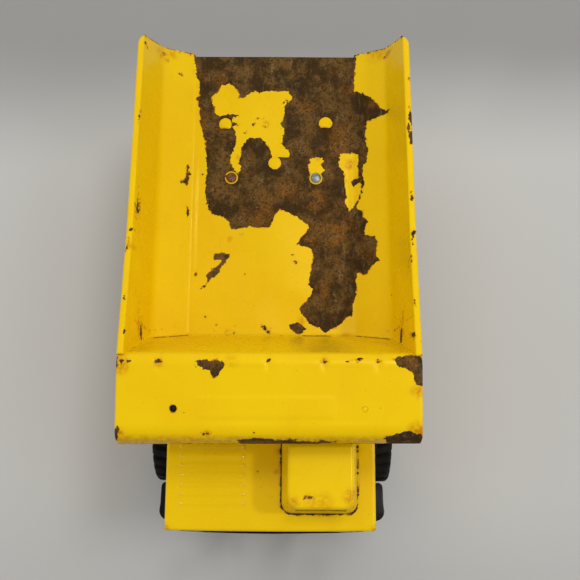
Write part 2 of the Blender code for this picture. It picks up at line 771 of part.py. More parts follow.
def tyre_profile():
    """(radius, station) round the tyre's section: bead, side wall, shoulder and tread."""
    half = [
        (BEAD_R, 15 * MM),
        (44 * MM, TYRE_HALF),
        (TYRE_R - 4.5 * MM, TYRE_HALF),
        (TYRE_R, TYRE_HALF - 4.5 * MM),
    ]
    return [(r, -x) for r, x in half] + list(reversed(half))


def hub_profile(side, boss_out):
    """(radius, station) round the hub's section: a boss on the axle, a dished web and a rim."""
    bore = AXLE_R + RUNNING
    rim = BEAD_R - GAP
    profile = [
        (bore, -TYRE_HALF),
        (7 * MM, -TYRE_HALF),
        (7 * MM, 2 * MM),
        (rim - 3 * MM, 4 * MM),
        (rim - 3 * MM, -14 * MM),
        (rim, -14 * MM),
        (rim, 14 * MM),
        (rim - 2.5 * MM, 14 * MM),
        (rim - 4.5 * MM, 7 * MM),
        (7 * MM, 5 * MM),
        (7 * MM, boss_out),
        (bore, boss_out),
    ]
    return [(r, side * x) for r, x in profile]


def build_wheel(label, side, center_x, axle_y, boss_out, mats):
    """A tyre on its hub, both turning about their own origins."""
    place = (side * center_x, axle_y, AXLE_Z)
    tyre = turned(f"tyre_{label}", tyre_profile(), TYRE_STEPS, "X", mats["tyre"], 30)
    tyre.location = place
    hub = turned(f"hub_{label}", hub_profile(side, boss_out), HUB_STEPS, "X", mats["hub"], 30)
    hub.location = place


def build_wheels(mats):
    """Single front wheels and twin rear wheels, all of one size."""
    short_boss = 9 * MM
    long_boss = OUTER_WHEEL_X - INNER_WHEEL_X - TYRE_HALF - GAP
    for side, hand in ((1, "left"), (-1, "right")):
        build_wheel(f"front_{hand}", side, OUTER_WHEEL_X, FRONT_AXLE_Y, short_boss, mats)
        build_wheel(f"rear_outer_{hand}", side, OUTER_WHEEL_X, REAR_AXLE_Y, short_boss, mats)
        build_wheel(f"rear_inner_{hand}", side, INNER_WHEEL_X, REAR_AXLE_Y, long_boss, mats)


# ---------------------------------------------------------------- assembly


def build_dump_bed(mats):
    """Everything that tips, hung on an empty on the hinge line."""
    pivot = bpy.data.objects.new("dump_pivot", None)
    pivot.location = PIVOT
    bpy.context.scene.collection.objects.link(pivot)
    before = set(bpy.data.objects)
    build_bed_shell(mats["paint"])
    build_canopy_panel(mats["paint"])
    build_canopy_rivet(mats["paint"])
    build_bed_rivet("bed_rivet_left", 1, mats["steel"])
    build_bed_rivet("bed_rivet_right", -1, mats["steel"])
    build_hinge_bracket(mats["paint"])
    for obj in set(bpy.data.objects) - before:
        hang_on_pivot(obj, pivot)


def build_running_gear(mats):
    build_chassis(mats["paint"])
    build_shaft("front_axle", AXLE_R, AXLE_HALF, FRONT_AXLE_Y, AXLE_Z, mats["steel"])
    build_shaft("rear_axle", AXLE_R, AXLE_HALF, REAR_AXLE_Y, AXLE_Z, mats["steel"])
    rod_half = CHASSIS_HALF + 5 * MM
    build_shaft("pivot_rod", PIVOT_R, rod_half, PIVOT.y, PIVOT.z, mats["steel"])
    for side, hand in ((1, "left"), (-1, "right")):
        for name, radius, end_x, y, z in (
            ("axle_cap_front", AXLE_R, AXLE_HALF, FRONT_AXLE_Y, AXLE_Z),
            ("axle_cap_rear", AXLE_R, AXLE_HALF, REAR_AXLE_Y, AXLE_Z),
            ("pivot_cap", PIVOT_R, rod_half, PIVOT.y, PIVOT.z),
        ):
            build_shaft_cap(f"{name}_{hand}", side, radius, end_x, y, z, mats["steel"])
        build_axle_spacer(f"front_axle_spacer_{hand}", side, mats["steel"])
    build_rest_bracket(mats["paint"])
    build_rest_pad(mats["pad"])
    build_wheels(mats)


def build_front_end(mats):
    build_hood(mats["paint"])
    build_cab(mats["paint"])
    build_cab_window(mats["glazing"])
    build_grille(mats["black"])
    build_bumper(mats["black"])
    for side, hand in ((1, "left"), (-1, "right")):
        build_headlight(f"headlight_{hand}", side, mats["lens"])
        build_bumper_screw(f"bumper_screw_{hand}", side, mats["steel"])


def main():
    clear_scene()
    mats = make_materials()
    build_dump_bed(mats)
    build_running_gear(mats)
    build_front_end(mats)


main()
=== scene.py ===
import math

import bmesh
import bpy
import numpy as np
from mathutils import Matrix, Vector


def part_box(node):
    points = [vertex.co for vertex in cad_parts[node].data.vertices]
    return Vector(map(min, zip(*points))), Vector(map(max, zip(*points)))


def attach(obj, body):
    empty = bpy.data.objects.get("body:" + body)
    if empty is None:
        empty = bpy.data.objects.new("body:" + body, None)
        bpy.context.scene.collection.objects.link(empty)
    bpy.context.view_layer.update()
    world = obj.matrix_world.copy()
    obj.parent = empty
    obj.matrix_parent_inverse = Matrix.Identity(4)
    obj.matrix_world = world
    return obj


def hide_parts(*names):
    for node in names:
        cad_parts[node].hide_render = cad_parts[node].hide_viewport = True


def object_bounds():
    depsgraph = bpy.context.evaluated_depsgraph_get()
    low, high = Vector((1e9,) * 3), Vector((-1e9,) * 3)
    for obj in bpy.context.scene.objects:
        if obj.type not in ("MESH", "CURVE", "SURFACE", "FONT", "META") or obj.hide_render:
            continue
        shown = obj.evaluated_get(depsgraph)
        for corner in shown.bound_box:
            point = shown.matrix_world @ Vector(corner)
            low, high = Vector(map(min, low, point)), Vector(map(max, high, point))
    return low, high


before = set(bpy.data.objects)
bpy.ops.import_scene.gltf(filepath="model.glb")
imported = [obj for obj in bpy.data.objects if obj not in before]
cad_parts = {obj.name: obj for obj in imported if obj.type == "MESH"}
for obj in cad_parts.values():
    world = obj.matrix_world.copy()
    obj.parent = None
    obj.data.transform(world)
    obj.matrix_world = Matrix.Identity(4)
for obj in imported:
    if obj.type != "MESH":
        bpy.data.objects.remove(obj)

# The looks of a worn toy dump truck. Lengths in tables are in millimetres, in the CAD frame:
# +Z up, the truck's front faces -Y and its left side, where the cab is, is +X.

CAD_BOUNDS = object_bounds()
MM = 0.001

# Bed: its floor and crease as (half width, y, z) at the front wall and at the tail, and its rim as
# (y, z) at the front wall, at its kink and at the tail
SHEET = 1.5
KINK_SHARE = 0.2626
FLOOR_LINE = ((76.0, -46.4, 150.0), (75.0, 220.5, 163.0))
CREASE_LINE = ((106.5, -52.6, 168.0), (102.0, 216.2, 184.0))
RIM_LINE = ((-80.9, 250.0), (22.5, 233.0), (208.5, 221.0))
RIM_INNER = 114.6
RIM_OUTER = 120.0
RIM_DOWN = 4.0
TAIL_CORNER_R = 8.0
TAIL_Y = 220.5
TAIL_Z = 163.0
TAIL_STEP = 2.5
FLANGE = 5.0
WALL_LEAN = 0.345
# Along the tub's front edge, paint fills the joint within the first half width, except between
# these two stations, and again beyond the last half width
FILLED_HALF = 75
OPEN_JOINT_X = (28, 52)
FILLED_FROM = 107
FLOOR_TILT = math.atan2(13, 268.5)
BOSS = (1.0, 113.0, 6.0)
LANCES = ((-45.5, 146.0, 6.0), (48.0, 147.5, 6.2))
LANCE_CENTER = 4.5
LANCE_LENGTH = 11.0
RIVET_X = 39.0
RIVET_Y = 98.5
RIVET_Z = 150 + 13 * (RIVET_Y + 48) / 268.5

# Canopy stamping, as (half width, y, z) from its foot to its lip
CANOPY_LINE = (
    (77.8, -47.4, 148.2),
    (108.3, -53.6, 166.2),
    (118.0, -77.7, 236.2),
    (120.0, -82.5, 250.0),
    (120.0, -140.0, 242.0),
    (120.0, -147.3, 237.5),
    (120.0, -149.8, 228.0),
)
CANOPY_FLANGE = 3.4
LIP_SKEW = 1.6
HOLE_X = 74.6
HOLE_Y = -125.2
HOLE_Z = 242 + 8 * (HOLE_Y + 140) / 57.5
HOLE_R = 2.8
RIVET_HOLE_R = 2.06
CANOPY_TILT = math.atan2(8, 57.5)
PANEL_X = (-58.0, 53.0)
PANEL_Y = (-133.0, -114.0)
PANEL_RISE = 0.40
DART_X = (-87.0, -44.0, -1.0, 43.0, 85.0)
DART_DEPTH = 1.3

# Hood
HOOD_EDGE_R = 2.4
RIB_X = (-79.0, -22.0)
RIB_FIRST_Y = -147.0
RIB_PITCH = 8.0
RIB_COUNT = 7
RIB_RISE = 0.5
RIB_DOME = ((0, 0.45), (0.5, 0.41), (0.95, 0.32), (1.35, 0.20), (1.8, 0.0), (1.8, -0.6), (0, -0.6))
ARCH_R = 64.0
GRILLE_HALF = 38.0
GRILLE_Z = (96.0, 142.0)
LAMP_X = 64.5
LAMP_Z = 118.0
LAMP_R = 11.5
LENS_R = 9.0
LENS_RIB = 1.8

# Cab
CAB_BASE_X = (9.3, 74.1)
CAB_ROOF_X = (14.4, 68.9)
CAB_BASE_Y = (-203.0, -105.0)
CAB_ROOF_Y = (-200.5, -108.0)
CAB_CORNER = 9.0
CAB_EDGE = 3.2
WINDSHIELD_X = (21.0, 63.0)
WINDSHIELD_Z = (172.0, 198.0)
ROOF_CREASE = (32, -190.5)

# Wheels
TYRE_R = 58.0
TYRE_HALF = 18.0
BEAD_R = 33.0
BORE_R = 2.56
LUGS = 30
LUG_DEPTH = 4.0
LUG_GROOVE = 0.42
LUG_WALL = 0.07
TREAD_FROM_R = 49
SHOULDER_R = 4.5
AXLE_Z = 58.0
AXLE_Y = {"front": -113.5, "rear_outer": 111.5, "rear_inner": 111.5}
WHEEL_X = {"front": 92.0, "rear_outer": 92.0, "rear_inner": 54.0}

# Where the paint is gone, in plan. The first outline is the big worn patch on the floor.
WORN_FLOOR = (
    (-76, 226), (77, 226), (77, 210), (75, 199), (75, 184), (83, 179), (90, 172), (98, 160),
    (105, 154), (104, 152), (96, 152), (86, 150), (84, 137), (87, 123), (85, 111), (82, 108),
    (83, 91), (80, 79), (76, 70), (82, 66), (82, 61), (86, 55), (83, 49), (83, 43), (92, 41),
    (94, 33), (93, 23), (96, 18), (89, 13), (84, 6), (76, 10), (76, 3), (75, -10), (72, -24),
    (72, -31), (68, -30), (63, -37), (52, -43), (47, -46), (42, -41), (37, -40), (31, -35),
    (30, -32), (24, -26), (25, -23), (34, -12), (36, -6), (32, -2), (37, 24), (35, 32),
    (20, 36), (26, 42), (33, 51), (30, 56), (17, 64), (6, 69), (3, 66), (-2, 54), (-4, 51),
    (-22, 52), (-38, 49), (-41, 56), (-45, 61), (-56, 64), (-60, 70), (-63, 80), (-62, 102),
    (-63, 121), (-64, 134), (-69, 150), (-70, 165), (-73, 176), (-70, 179), (-71, 194),
    (-74, 198), (-74, 207), (-76, 212),
)
PAINT_ISLANDS = (
    (
        (-59, 179), (-53, 182), (-51, 188), (-42, 191), (-33, 183), (-33, 177), (-30, 177),
        (-18, 184), (-14, 181), (-13, 183), (13, 184), (17, 177), (9, 169), (10, 166), (9, 157),
        (6, 151), (9, 146), (8, 136), (7, 133), (14, 124), (14, 119), (-2, 120), (-4, 128),
        (-10, 135), (-11, 137), (-23, 138), (-26, 134), (-31, 127), (-30, 122), (-33, 113),
        (-30, 109), (-33, 102), (-36, 106), (-40, 113), (-40, 119), (-37, 125), (-35, 134),
        (-36, 143), (-39, 149), (-30, 150), (-33, 151), (-39, 153), (-39, 157), (-33, 159),
        (-37, 161), (-51, 159), (-55, 160), (-57, 169), (-58, 172),
    ),
    (
        (78, 121), (74, 123), (62, 122), (60, 111), (65, 105), (66, 91), (68, 81), (66, 75),
        (70, 67), (79, 79), (81, 95), (74, 91), (72, 93), (73, 97), (79, 99), (78, 102),
    ),
    (
        (33, 102), (32, 110), (34, 117), (42, 120), (45, 118), (46, 115), (43, 112), (47, 106),
        (45, 103),
    ),
)
FLOOR_CHIPS = (
    (
        (-54, 27), (-47, 28), (-37, 26), (-42, 21), (-47, 14), (-49, 8), (-52, 4), (-57, 3),
        (-60, -2), (-61, -5), (-68, -7), (-61, -2), (-59, 3), (-60, 6), (-56, 11), (-49, 16),
        (-46, 21), (-54, 21),
    ),
    ((-80, 110), (-78, 109), (-78, 105), (-76, 101), (-78, 99), (-79, 90), (-85, 92), (-81, 96)),
    ((-79, 71), (-78, 69), (-77, 66), (-78, 60), (-80, 62)),
    ((-11, -38), (-7, -39), (-3, -42), (-2, -47), (-6, -45)),
    ((15, -38), (18, -37), (23, -36), (28, -40), (31, -43), (24, -48), (20, -45), (16, -43)),
)
RIM_CHIPS = (
    ((118, 169), (120, 166), (118, 163), (117, 166)),
    ((118, 141), (119, 136), (121, 130), (121, 112), (120, 103), (117, 103), (116, 118), (117, 128)),
    ((117, 60), (118, 50), (116, 51)),
    ((117, 25), (121, 24), (118, 20), (116, 11), (115.5, 19)),
    ((-114.6, 204), (-113.4, 203), (-112, 198), (-113.6, 200)),
)
RIM_ISLANDS = (((117, 124), (120, 122), (119.5, 115), (117, 113), (118, 118)),)
CANOPY_CHIPS = (
    (
        (-61, -90), (-56, -88), (-43, -88), (-41, -87), (-39, -89), (-37, -88), (-35, -90),
        (-36, -94), (-40, -100), (-44, -101), (-46, -99), (-46, -96), (-53, -94), (-59, -91),
    ),
    (
        (95, -85), (101, -85), (100, -83), (111, -83), (122, -85), (122, -104), (118, -108),
        (115, -106), (113, -101), (111, -96), (107, -94), (100, -92), (98, -88),
    ),
    ((89, -146), (101, -143), (110, -141), (122, -145), (122, -152), (96, -152)),
    ((-25, -148), (-10, -147), (20, -148.4), (53, -149), (30, -152), (-22, -152)),
)
# Small chips as (x, y, half length, half width, turn in degrees)
BED_SPOTS = (
    (14, 113, 0.8, 0.8, 0), (12, 175, 1.1, 0.7, -20), (-19, 151, 1.6, 1.0, 60),
    (-8, 149, 1.2, 0.8, -30), (-10, 157, 1.0, 0.7, -40), (-26, 143, 0.8, 0.6, 0),
    (17, 26, 1.4, 0.8, 0), (21, 19, 1.7, 1.1, -20), (5, 9, 1.0, 0.8, 0), (-29, 45, 1.1, 0.7, 0),
    (-28, 43, 1.0, 0.8, 0), (-70, 7, 1.1, 0.7, 60), (-54, 50, 0.8, 0.6, 0),
    (-102, 209, 1.6, 0.9, 40), (-98, 205, 1.3, 0.8, 0), (-88, 196, 1.3, 0.9, 0),
    (-86, 195.5, 1.0, 1.0, 0), (103, 207, 1.4, 0.7, 0), (-115, 128, 3.0, 0.5, 90),
    (-113, 48, 5, 0.5, 90), (-116, 24, 2.6, 1.1, 35), (-118, 10, 3.6, 0.7, 80),
    (-117, -37, 2.4, 0.8, 90), (-115, -65, 2.0, 0.8, 80), (114, -65, 2.2, 0.8, 100),
    (119, -71, 1.6, 1.1, 0), (116, -39, 1.6, 0.7, 90), (115, -2, 2.0, 0.6, 90),
    (62, -50.5, 2.4, 0.7, -10), (-52, -44, 1.2, 0.8, 0), (-46, -43, 1.4, 0.7, 30),
    (-34, -45, 2.2, 0.5, 90), (-109.5, -56, 7, 0.35, 92), (109.5, -58, 8, 0.45, 88),
    (-106, -48.5, 4.5, 0.35, 18), (106, -47.5, 4, 0.35, -14), (-75.4, 212, 7, 0.6, 90),
    (75.4, 212, 8, 0.7, 90), (-79, 219.4, 4, 0.8, 0), (80, 219.6, 5, 0.9, 0),
    (-96, 217.5, 9, 0.5, -4), (95, 218, 8, 0.5, 5), (9, 172, 0.9, 0.8, 0), (-16, 157, 0.7, 0.6, 0),
)
CANOPY_SPOTS = (
    (70, -87, 2.4, 1.6, 0), (61, -88, 1.8, 1.0, 0), (-87, -88.5, 3.2, 2.6, 0),
    (-1, -88, 2.2, 1.4, 60), (43, -88, 1.6, 1.1, 0), (85, -88, 1.8, 1.2, 0),
    (-116, -89, 2.6, 1.4, 20), (-110, -89.5, 2.4, 1.5, -20), (-120, -90, 8, 1.3, 90),
    (-110, -64, 6, 0.35, 92), (110, -66, 6, 0.4, 88), (-49, -144, 2.6, 1.2, -10),
    (-66, -128, 0.9, 0.8, 0), (-120, -146, 6, 2.0, 70),
)
HOOD_SPOTS = (
    (-12, -168, 0.8, 0.6, 0), (-48, -152, 0.7, 0.5, 0), (0, -190, 0.6, 0.5, 0),
    (6, -160, 0.7, 0.6, 0), (5, -168, 1.0, 0.5, 80), (8, -150, 2.4, 0.7, 85),
)
CAB_SPOTS = ((33, -191.0, 5.2, 1.1, -4), (28.6, -191.8, 1.8, 0.8, 35))
CHIP_REACH = 12.0
# Warmer, more orange rust on the floor, as (x, y, radius)
WARM_RUST = (
    (26, 170, 13), (-50, 194, 11), (-12, 66, 24), (12, 88, 15), (58, 50, 26), (46, -6, 11),
    (92, 168, 10), (-66, 196, 6), (72, 186, 9), (38, 78, 16), (88, 20, 8), (34, 40, 9),
)
# Rust washed over the paint, as (x, y, radius, strength)
BED_STAINS = (
    (-8, 151, 5, 0.9), (70, 112, 7, 0.9), (66, 96, 4, 0.6), (-102, 207, 7, 0.7), (-39, 40, 4, 0.6),
    (-97, 213, 9, 0.5), (96, 214, 12, 0.5), (41, 118, 4, 0.5), (-33, 118, 4, 0.5),
    (26, -35, 5, 0.6), (-3, -44, 5, 0.5), (104, 208, 5, 0.7), (-116, 10, 5, 0.6),
    (-40, -46, 5, 0.5), (66, -50, 7, 0.6),
)
CANOPY_STAINS = (
    (-116, -92, 10, 0.8), (116, -110, 9, 0.7), (-118, -145, 9, 0.9), (116, -142, 12, 0.8),
    (-87, -90, 6, 0.6), (-30, -88, 9, 0.3), (42, -88, 5, 0.6), (-48, -144, 5, 0.6),
)
CAB_STAINS = ((42, -196, 14, 0.45), (66, -190, 10, 0.7), (18, -196, 9, 0.7), (34, -194, 9, 0.5))
HOOD_STAINS = ((-89, -215, 5, 0.8), (89, -215, 5, 0.8), (5, -168, 4, 0.6), (8, -150, 6, 0.5))
# Shallow dents as (x, y, radius, depth); a negative depth is a bulge
DENTS = (
    (20, 150, 60, 0.9), (-45, 90, 45, 0.7), (40, 30, 50, 0.8), (-30, 10, 55, 0.7),
    (10, -30, 28, 0.8), (-20, -110, 45, 0.5), (60, -115, 40, 0.4), (-95, 60, 60, 0.6),
    (95, 80, 50, 0.6), (0, 200, 50, -0.5),
)

# Colours, linear
PAINT = (0.80, 0.525, 0.0015)
PAINT_AGED = (0.72, 0.40, 0.003)
PAINT_GLEAM = (1.0, 0.80, 0.22, 1.0)
RUST_STAIN = (0.46, 0.14, 0.003)
RUST_FRECKLE = (0.22, 0.06, 0.004)
RUST_BLOT = (0.026, 0.012, 0.006)
RUST_GLINT = (0.50, 0.38, 0.24)
RUST_BLOOM = (0.075, 0.016, 0.010)
RUST_DARK = (0.038, 0.019, 0.009)
RUST_MID = (0.145, 0.074, 0.022)
RUST_ORANGE = (0.24, 0.090, 0.012)
RUST_PALE = (0.26, 0.185, 0.090)
PLASTIC_BLACK = (0.004, 0.004, 0.0045)
PLASTIC_DUST = (0.12, 0.11, 0.10)
SCRATCH = (0.3, 0.3, 0.3)
TYRE_BLACK = (0.006, 0.006, 0.0065)
TYRE_DUST = (0.10, 0.09, 0.075)
PAD_BLACK = (0.016, 0.016, 0.016)
PAD_DUST = (0.06, 0.055, 0.05)
HUB_YELLOW = (0.80, 0.50, 0.006)
HUB_AGED = (0.66, 0.37, 0.01)
HUB_GRIME = (0.09, 0.06, 0.03)
STEEL_PALE = (0.30, 0.34, 0.35)
STEEL_DARK = (0.20, 0.22, 0.22)
LENS_CLEAR = (0.82, 0.82, 0.78)
LENS_AGED = (0.66, 0.63, 0.55)
GLASS_CLEAR = (0.55, 0.62, 0.66)
GLASS_DUSTY = (0.42, 0.43, 0.40)
CLOTH_DARK = (0.665, 0.668, 0.660)
CLOTH_PALE = (0.725, 0.729, 0.724)
# Painted shade on the floor: the darker tones of the bands behind and before the truck
CLOTH_SHADE_BEHIND = (0.40, 0.398, 0.397)
CLOTH_SHADE_BEFORE = (0.60, 0.60, 0.595)
ROOM = (1.0, 0.985, 0.955)
KEY_COLOR = (1.0, 0.98, 0.94)
SOFT_COLOR = (1.0, 0.985, 0.96)

# Studio: the room is darker towards the front (-Y), and lights look at the truck's middle
ROOM_STRENGTH = 0.70
ROOM_DARK_Y = (-0.95, -0.1)
ROOM_DARK_SHARE = 0.45
LIGHT_TARGET = (0, 0, 0.15)
LIGHT_DISTANCE = 2.2
# Lights as (name, direction towards the light, size in metres, watts, colour)
KEY = ("key", (0.616, -0.056, 1.0), 0.16, 9.4, KEY_COLOR)
TOP = ("top", (0.22, 0.23, 1.0), 0.50, 8.3, SOFT_COLOR)
RIGHT_FILL = ("right_fill", (-1.0, 0.1, 0.55), 0.9, 9.5, SOFT_COLOR)
LEFT_FILL = ("left_fill", (1.0, 0.1, 0.5), 0.9, 5.0, SOFT_COLOR)
# Pieces that would darken the floor before the truck more than the photograph shows
NO_TOP_SHADOW = ("hood_stamping", "bumper_moulding", "chassis_strip", "grille_bars", "cab_stamping")
CAMERA_LENS = 58.5
CAMERA_PLACE = (0.01685, -0.2125, 0.977)
CAMERA_TILT = 14
CAMERA_ROLL = 0.315


# ---------------------------------------------------------------- material nodes


# A Mix node has one set of sockets for each type. These are the ones for colours.
MIX_A = 6
MIX_B = 7
MIX_RESULT = 2


class Nodes:
    """A node tree and short calls that add nodes to it."""

    def __init__(self, owner):
        owner.use_nodes = True
        self.tree = owner.node_tree

    def node(self, kind):
        return self.tree.nodes.new("ShaderNode" + kind)

    def fill(self, socket, value):
        if isinstance(value, bpy.types.NodeSocket):
            self.tree.links.new(value, socket)
        elif isinstance(value, tuple) and len(value) == 3 and socket.type == "RGBA":
            socket.default_value = (*value, 1.0)
        else:
            socket.default_value = value

    def calc(self, operation, a, b=0.0, c=0.0):
        node = self.node("Math")
        node.operation = operation
        for socket, value in zip(node.inputs, (a, b, c)):
            self.fill(socket, value)
        return node.outputs[0]

    def times(self, a, b):
        return self.calc("MULTIPLY", a, b)

    def plus(self, a, b):
        return self.calc("ADD", a, b)

    def less(self, a, b):
        return self.calc("SUBTRACT", a, b)

    def ramp(self, value, low, high, start=0.0, stop=1.0):
        """value from low to high becomes start to stop, smoothly and no further."""
        node = self.node("MapRange")
        node.interpolation_type = "SMOOTHSTEP"
        for socket, item in zip(node.inputs, (value, low, high, start, stop)):
            self.fill(socket, item)
        return node.outputs[0]

    def mix(self, share, a, b):
        node = self.node("Mix")
        node.data_type = "RGBA"
        self.fill(node.inputs["Factor"], share)
        self.fill(node.inputs[MIX_A], a)
        self.fill(node.inputs[MIX_B], b)
        return node.outputs[MIX_RESULT]


class Shading(Nodes):
    """One Principled material, whose patterns follow its object's own coordinates."""

    def __init__(self, name):
        self.material = bpy.data.materials.new(name)
        super().__init__(self.material)
        self.shader = self.tree.nodes["Principled BSDF"]
        self.place = self.node("TexCoord").outputs["Object"]

    def stretched(self, scale):
        node = self.node("Mapping")
        node.inputs["Scale"].default_value = scale
        self.fill(node.inputs["Vector"], self.place)
        return node.outputs[0]

    def noise(self, size, detail=3.0, roughness=0.55, place=None, seed=0.0):
        """A cloud from about 0.3 to 0.7 whose lumps are some millimetres wide."""
        node = self.node("TexNoise")
        node.noise_dimensions = "4D"
        node.inputs["W"].default_value = seed
        node.inputs["Scale"].default_value = 1.0 / (size * MM)
        node.inputs["Detail"].default_value = detail
        node.inputs["Roughness"].default_value = roughness
        self.fill(node.inputs["Vector"], place or self.place)
        return node.outputs["Fac"]

    def cells(self, size):
        node = self.node("TexVoronoi")
        node.inputs["Scale"].default_value = 1.0 / (size * MM)
        self.fill(node.inputs["Vector"], self.place)
        return node.outputs["Distance"]

    def measure(self, attribute):
        node = self.node("Attribute")
        node.attribute_name = attribute
        return node.outputs["Fac"]

    def bump(self, height, depth, under=None):
        """Relief of so many millimetres where height goes from 0 to 1."""
        node = self.node("Bump")
        node.inputs["Strength"].default_value = 1.0
        node.inputs["Distance"].default_value = depth * MM
        self.fill(node.inputs["Height"], height)
        if under is not None:
            self.fill(node.inputs["Normal"], under)
        return node.outputs[0]

    def finish(self, color, roughness, normal=None, metallic=0.0):
        self.fill(self.shader.inputs["Base Color"], color)
        self.fill(self.shader.inputs["Roughness"], roughness)
        self.fill(self.shader.inputs["Metallic"], metallic)
        if normal is not None:
            self.fill(self.shader.inputs["Normal"], normal)
        return self.material


def rusted_steel(s):
    """Colour of bare pressed steel that has rusted brown: mottled, scuffed along the bed, and
    more orange where the piece's warm measure says so."""
    color = s.mix(s.ramp(s.noise(20, 6, 0.68, seed=1.0), 0.43, 0.59), RUST_DARK, RUST_MID)
    along = s.stretched((1.0, 0.35, 1.0))
    patches = s.ramp(s.noise(30, 5, 0.62, along, seed=2.0), 0.54, 0.68, 0.0, 0.6)
    warm = s.times(s.measure("warm"), s.ramp(s.noise(7, 5, 0.7, seed=17.0), 0.38, 0.6))
    color = s.mix(s.calc("MAXIMUM", patches, warm), color, RUST_ORANGE)
    scuffs = s.ramp(s.noise(6, 7, 0.78, along, seed=3.0), 0.52, 0.69, 0.0, 0.68)
    color = s.mix(scuffs, color, RUST_PALE)
    pits = s.ramp(s.noise(1.8, 4, 0.75, seed=4.0), 0.38, 0.52)
    color = s.mix(pits, RUST_DARK, color)
    blots = s.ramp(s.noise(5.5, 3, 0.6, seed=18.0), 0.62, 0.70, 0.0, 0.7)
    color = s.mix(blots, color, RUST_BLOT)
    glints = s.ramp(s.noise(0.9, 2, 0.6, seed=5.0), 0.66, 0.74, 0.0, 0.55)
    return s.mix(glints, color, RUST_GLINT)


def painted_steel(name, chipped=True, worn=0.0):
    """Yellow enamel over steel. Where chipped, the piece's chip_mm and edge_mm attributes say
    how far a point is from bare steel and from a raw edge. worn, from 0 to 1, adds loose chips."""
    s = Shading(name)
    s.shader.inputs["Specular Tint"].default_value = PAINT_GLEAM
    s.shader.inputs["IOR"].default_value = 1.40
    ragged = s.times(s.less(s.noise(5, 3, 0.6, seed=6.0), 0.5), 4.2)
    flakes = s.times(s.less(s.cells(2.6), 0.45), 1.5)
    crumbs = s.times(s.less(s.noise(1.2, 4, 0.75, seed=7.0), 0.5), 2.6)
    jitter = s.plus(s.plus(ragged, flakes), crumbs)
    # Loose chips: some cells of a coarse pattern hold one small round chip.
    near = s.times(s.cells(17), 17.0)
    chance = s.noise(40, 2, seed=8.0)
    size = s.ramp(chance, 0.50 - 0.12 * worn, 0.66 - 0.10 * worn, 0.0, 0.9 + worn)
    loose = s.plus(s.less(near, size), 0.15)
    depth = loose
    if chipped:
        jitter = s.times(jitter, s.measure("ragged"))
        chip = s.plus(s.measure("chip_mm"), jitter)
        edge = s.plus(s.measure("edge_mm"), s.times(jitter, 1.3))
        edge = s.less(edge, 0.35)
        depth = s.calc("MINIMUM", s.calc("MINIMUM", chip, edge), loose)
    bare = s.ramp(depth, -0.12, 0.12, 1.0, 0.0)
    aged = s.ramp(s.noise(70, 3, seed=9.0), 0.40, 0.66, 0.0, 0.28)
    paint = s.mix(aged, PAINT, PAINT_AGED)
    smears = s.ramp(s.noise(24, 3, 0.5, s.stretched((1.0, 0.35, 1.0)), seed=10.0), 0.54, 0.72)
    paint = s.mix(s.times(smears, 0.14), paint, PAINT_AGED)
    if chipped:
        blotches = s.ramp(s.noise(5, 5, 0.7, seed=19.0), 0.38, 0.60, 0.15, 1.0)
        paint = s.mix(s.times(s.measure("stain"), blotches), paint, RUST_STAIN)
    halo = s.ramp(depth, 0.0, 1.2, 1.0, 0.0)
    halo = s.times(halo, s.ramp(s.noise(9, 3, seed=11.0), 0.46, 0.62, 0.0, 0.9))
    paint = s.mix(halo, paint, RUST_STAIN)
    freckles = s.ramp(s.noise(2.0, 2, seed=12.0), 0.715, 0.76, 0.0, 0.85)
    paint = s.mix(freckles, paint, RUST_FRECKLE)
    color = s.mix(bare, paint, rusted_steel(s))
    # Painted shade: a dark band along the inside of each chip's edge stands in for the shade of the
    # paint's raised step. It takes the darkest rust colour.
    rim = s.times(s.ramp(depth, -0.9, 0.0, 0.0, 0.55), bare)
    color = s.mix(rim, color, RUST_DARK)
    haze = s.ramp(s.noise(26, 4, seed=13.0), 0.40, 0.66, 0.24, 0.36)
    matt = s.ramp(s.noise(5, 4, seed=14.0), 0.35, 0.65, 0.62, 0.86)
    gloss = s.plus(s.times(haze, s.less(1.0, bare)), s.times(matt, bare))
    peel = s.bump(s.noise(2.6, 1, seed=15.0), 0.02)
    pitted = s.times(s.noise(1.7, 5, 0.7, seed=16.0), bare)
    rough = s.bump(pitted, 0.55, peel)
    step = s.bump(s.ramp(depth, -0.15, 0.15), 0.16, rough)
    metal = s.times(bare, 0.25)
    return s.finish(color, gloss, step, metal)


def gloss_paint():
    """The same enamel where nothing has dulled it."""
    s = Shading("gloss_paint")
    color = s.mix(s.ramp(s.noise(6, 3), 0.4, 0.66, 0.0, 0.4), PAINT, PAINT_AGED)
    return s.finish(color, s.ramp(s.noise(2, 2), 0.35, 0.65, 0.08, 0.14))


def black_plastic():
    s = Shading("black_moulding")
    s.shader.inputs["Specular IOR Level"].default_value = 0.12
    dust = s.ramp(s.noise(22, 4, 0.6), 0.50, 0.76, 0.0, 0.06)
    color = s.mix(dust, PLASTIC_BLACK, PLASTIC_DUST)
    scratches = s.ramp(s.noise(3, 4, 0.6, s.stretched((0.15, 1.0, 1.0))), 0.64, 0.76, 0.0, 0.05)
    color = s.mix(scratches, color, SCRATCH)
    gloss = s.ramp(s.noise(12, 4), 0.35, 0.65, 0.24, 0.42)
    return s.finish(color, gloss, s.bump(s.noise(1.4, 2), 0.03))


def tyre_rubber():
    s = Shading("tyre_rubber")
    s.shader.inputs["Specular IOR Level"].default_value = 0.18
    dust = s.ramp(s.noise(14, 5, 0.65), 0.48, 0.76, 0.0, 0.12)
    color = s.mix(dust, TYRE_BLACK, TYRE_DUST)
    gloss = s.ramp(s.noise(8, 3), 0.35, 0.65, 0.58, 0.80)
    grain = s.bump(s.noise(0.9, 3, 0.7), 0.10)
    return s.finish(color, gloss, grain)


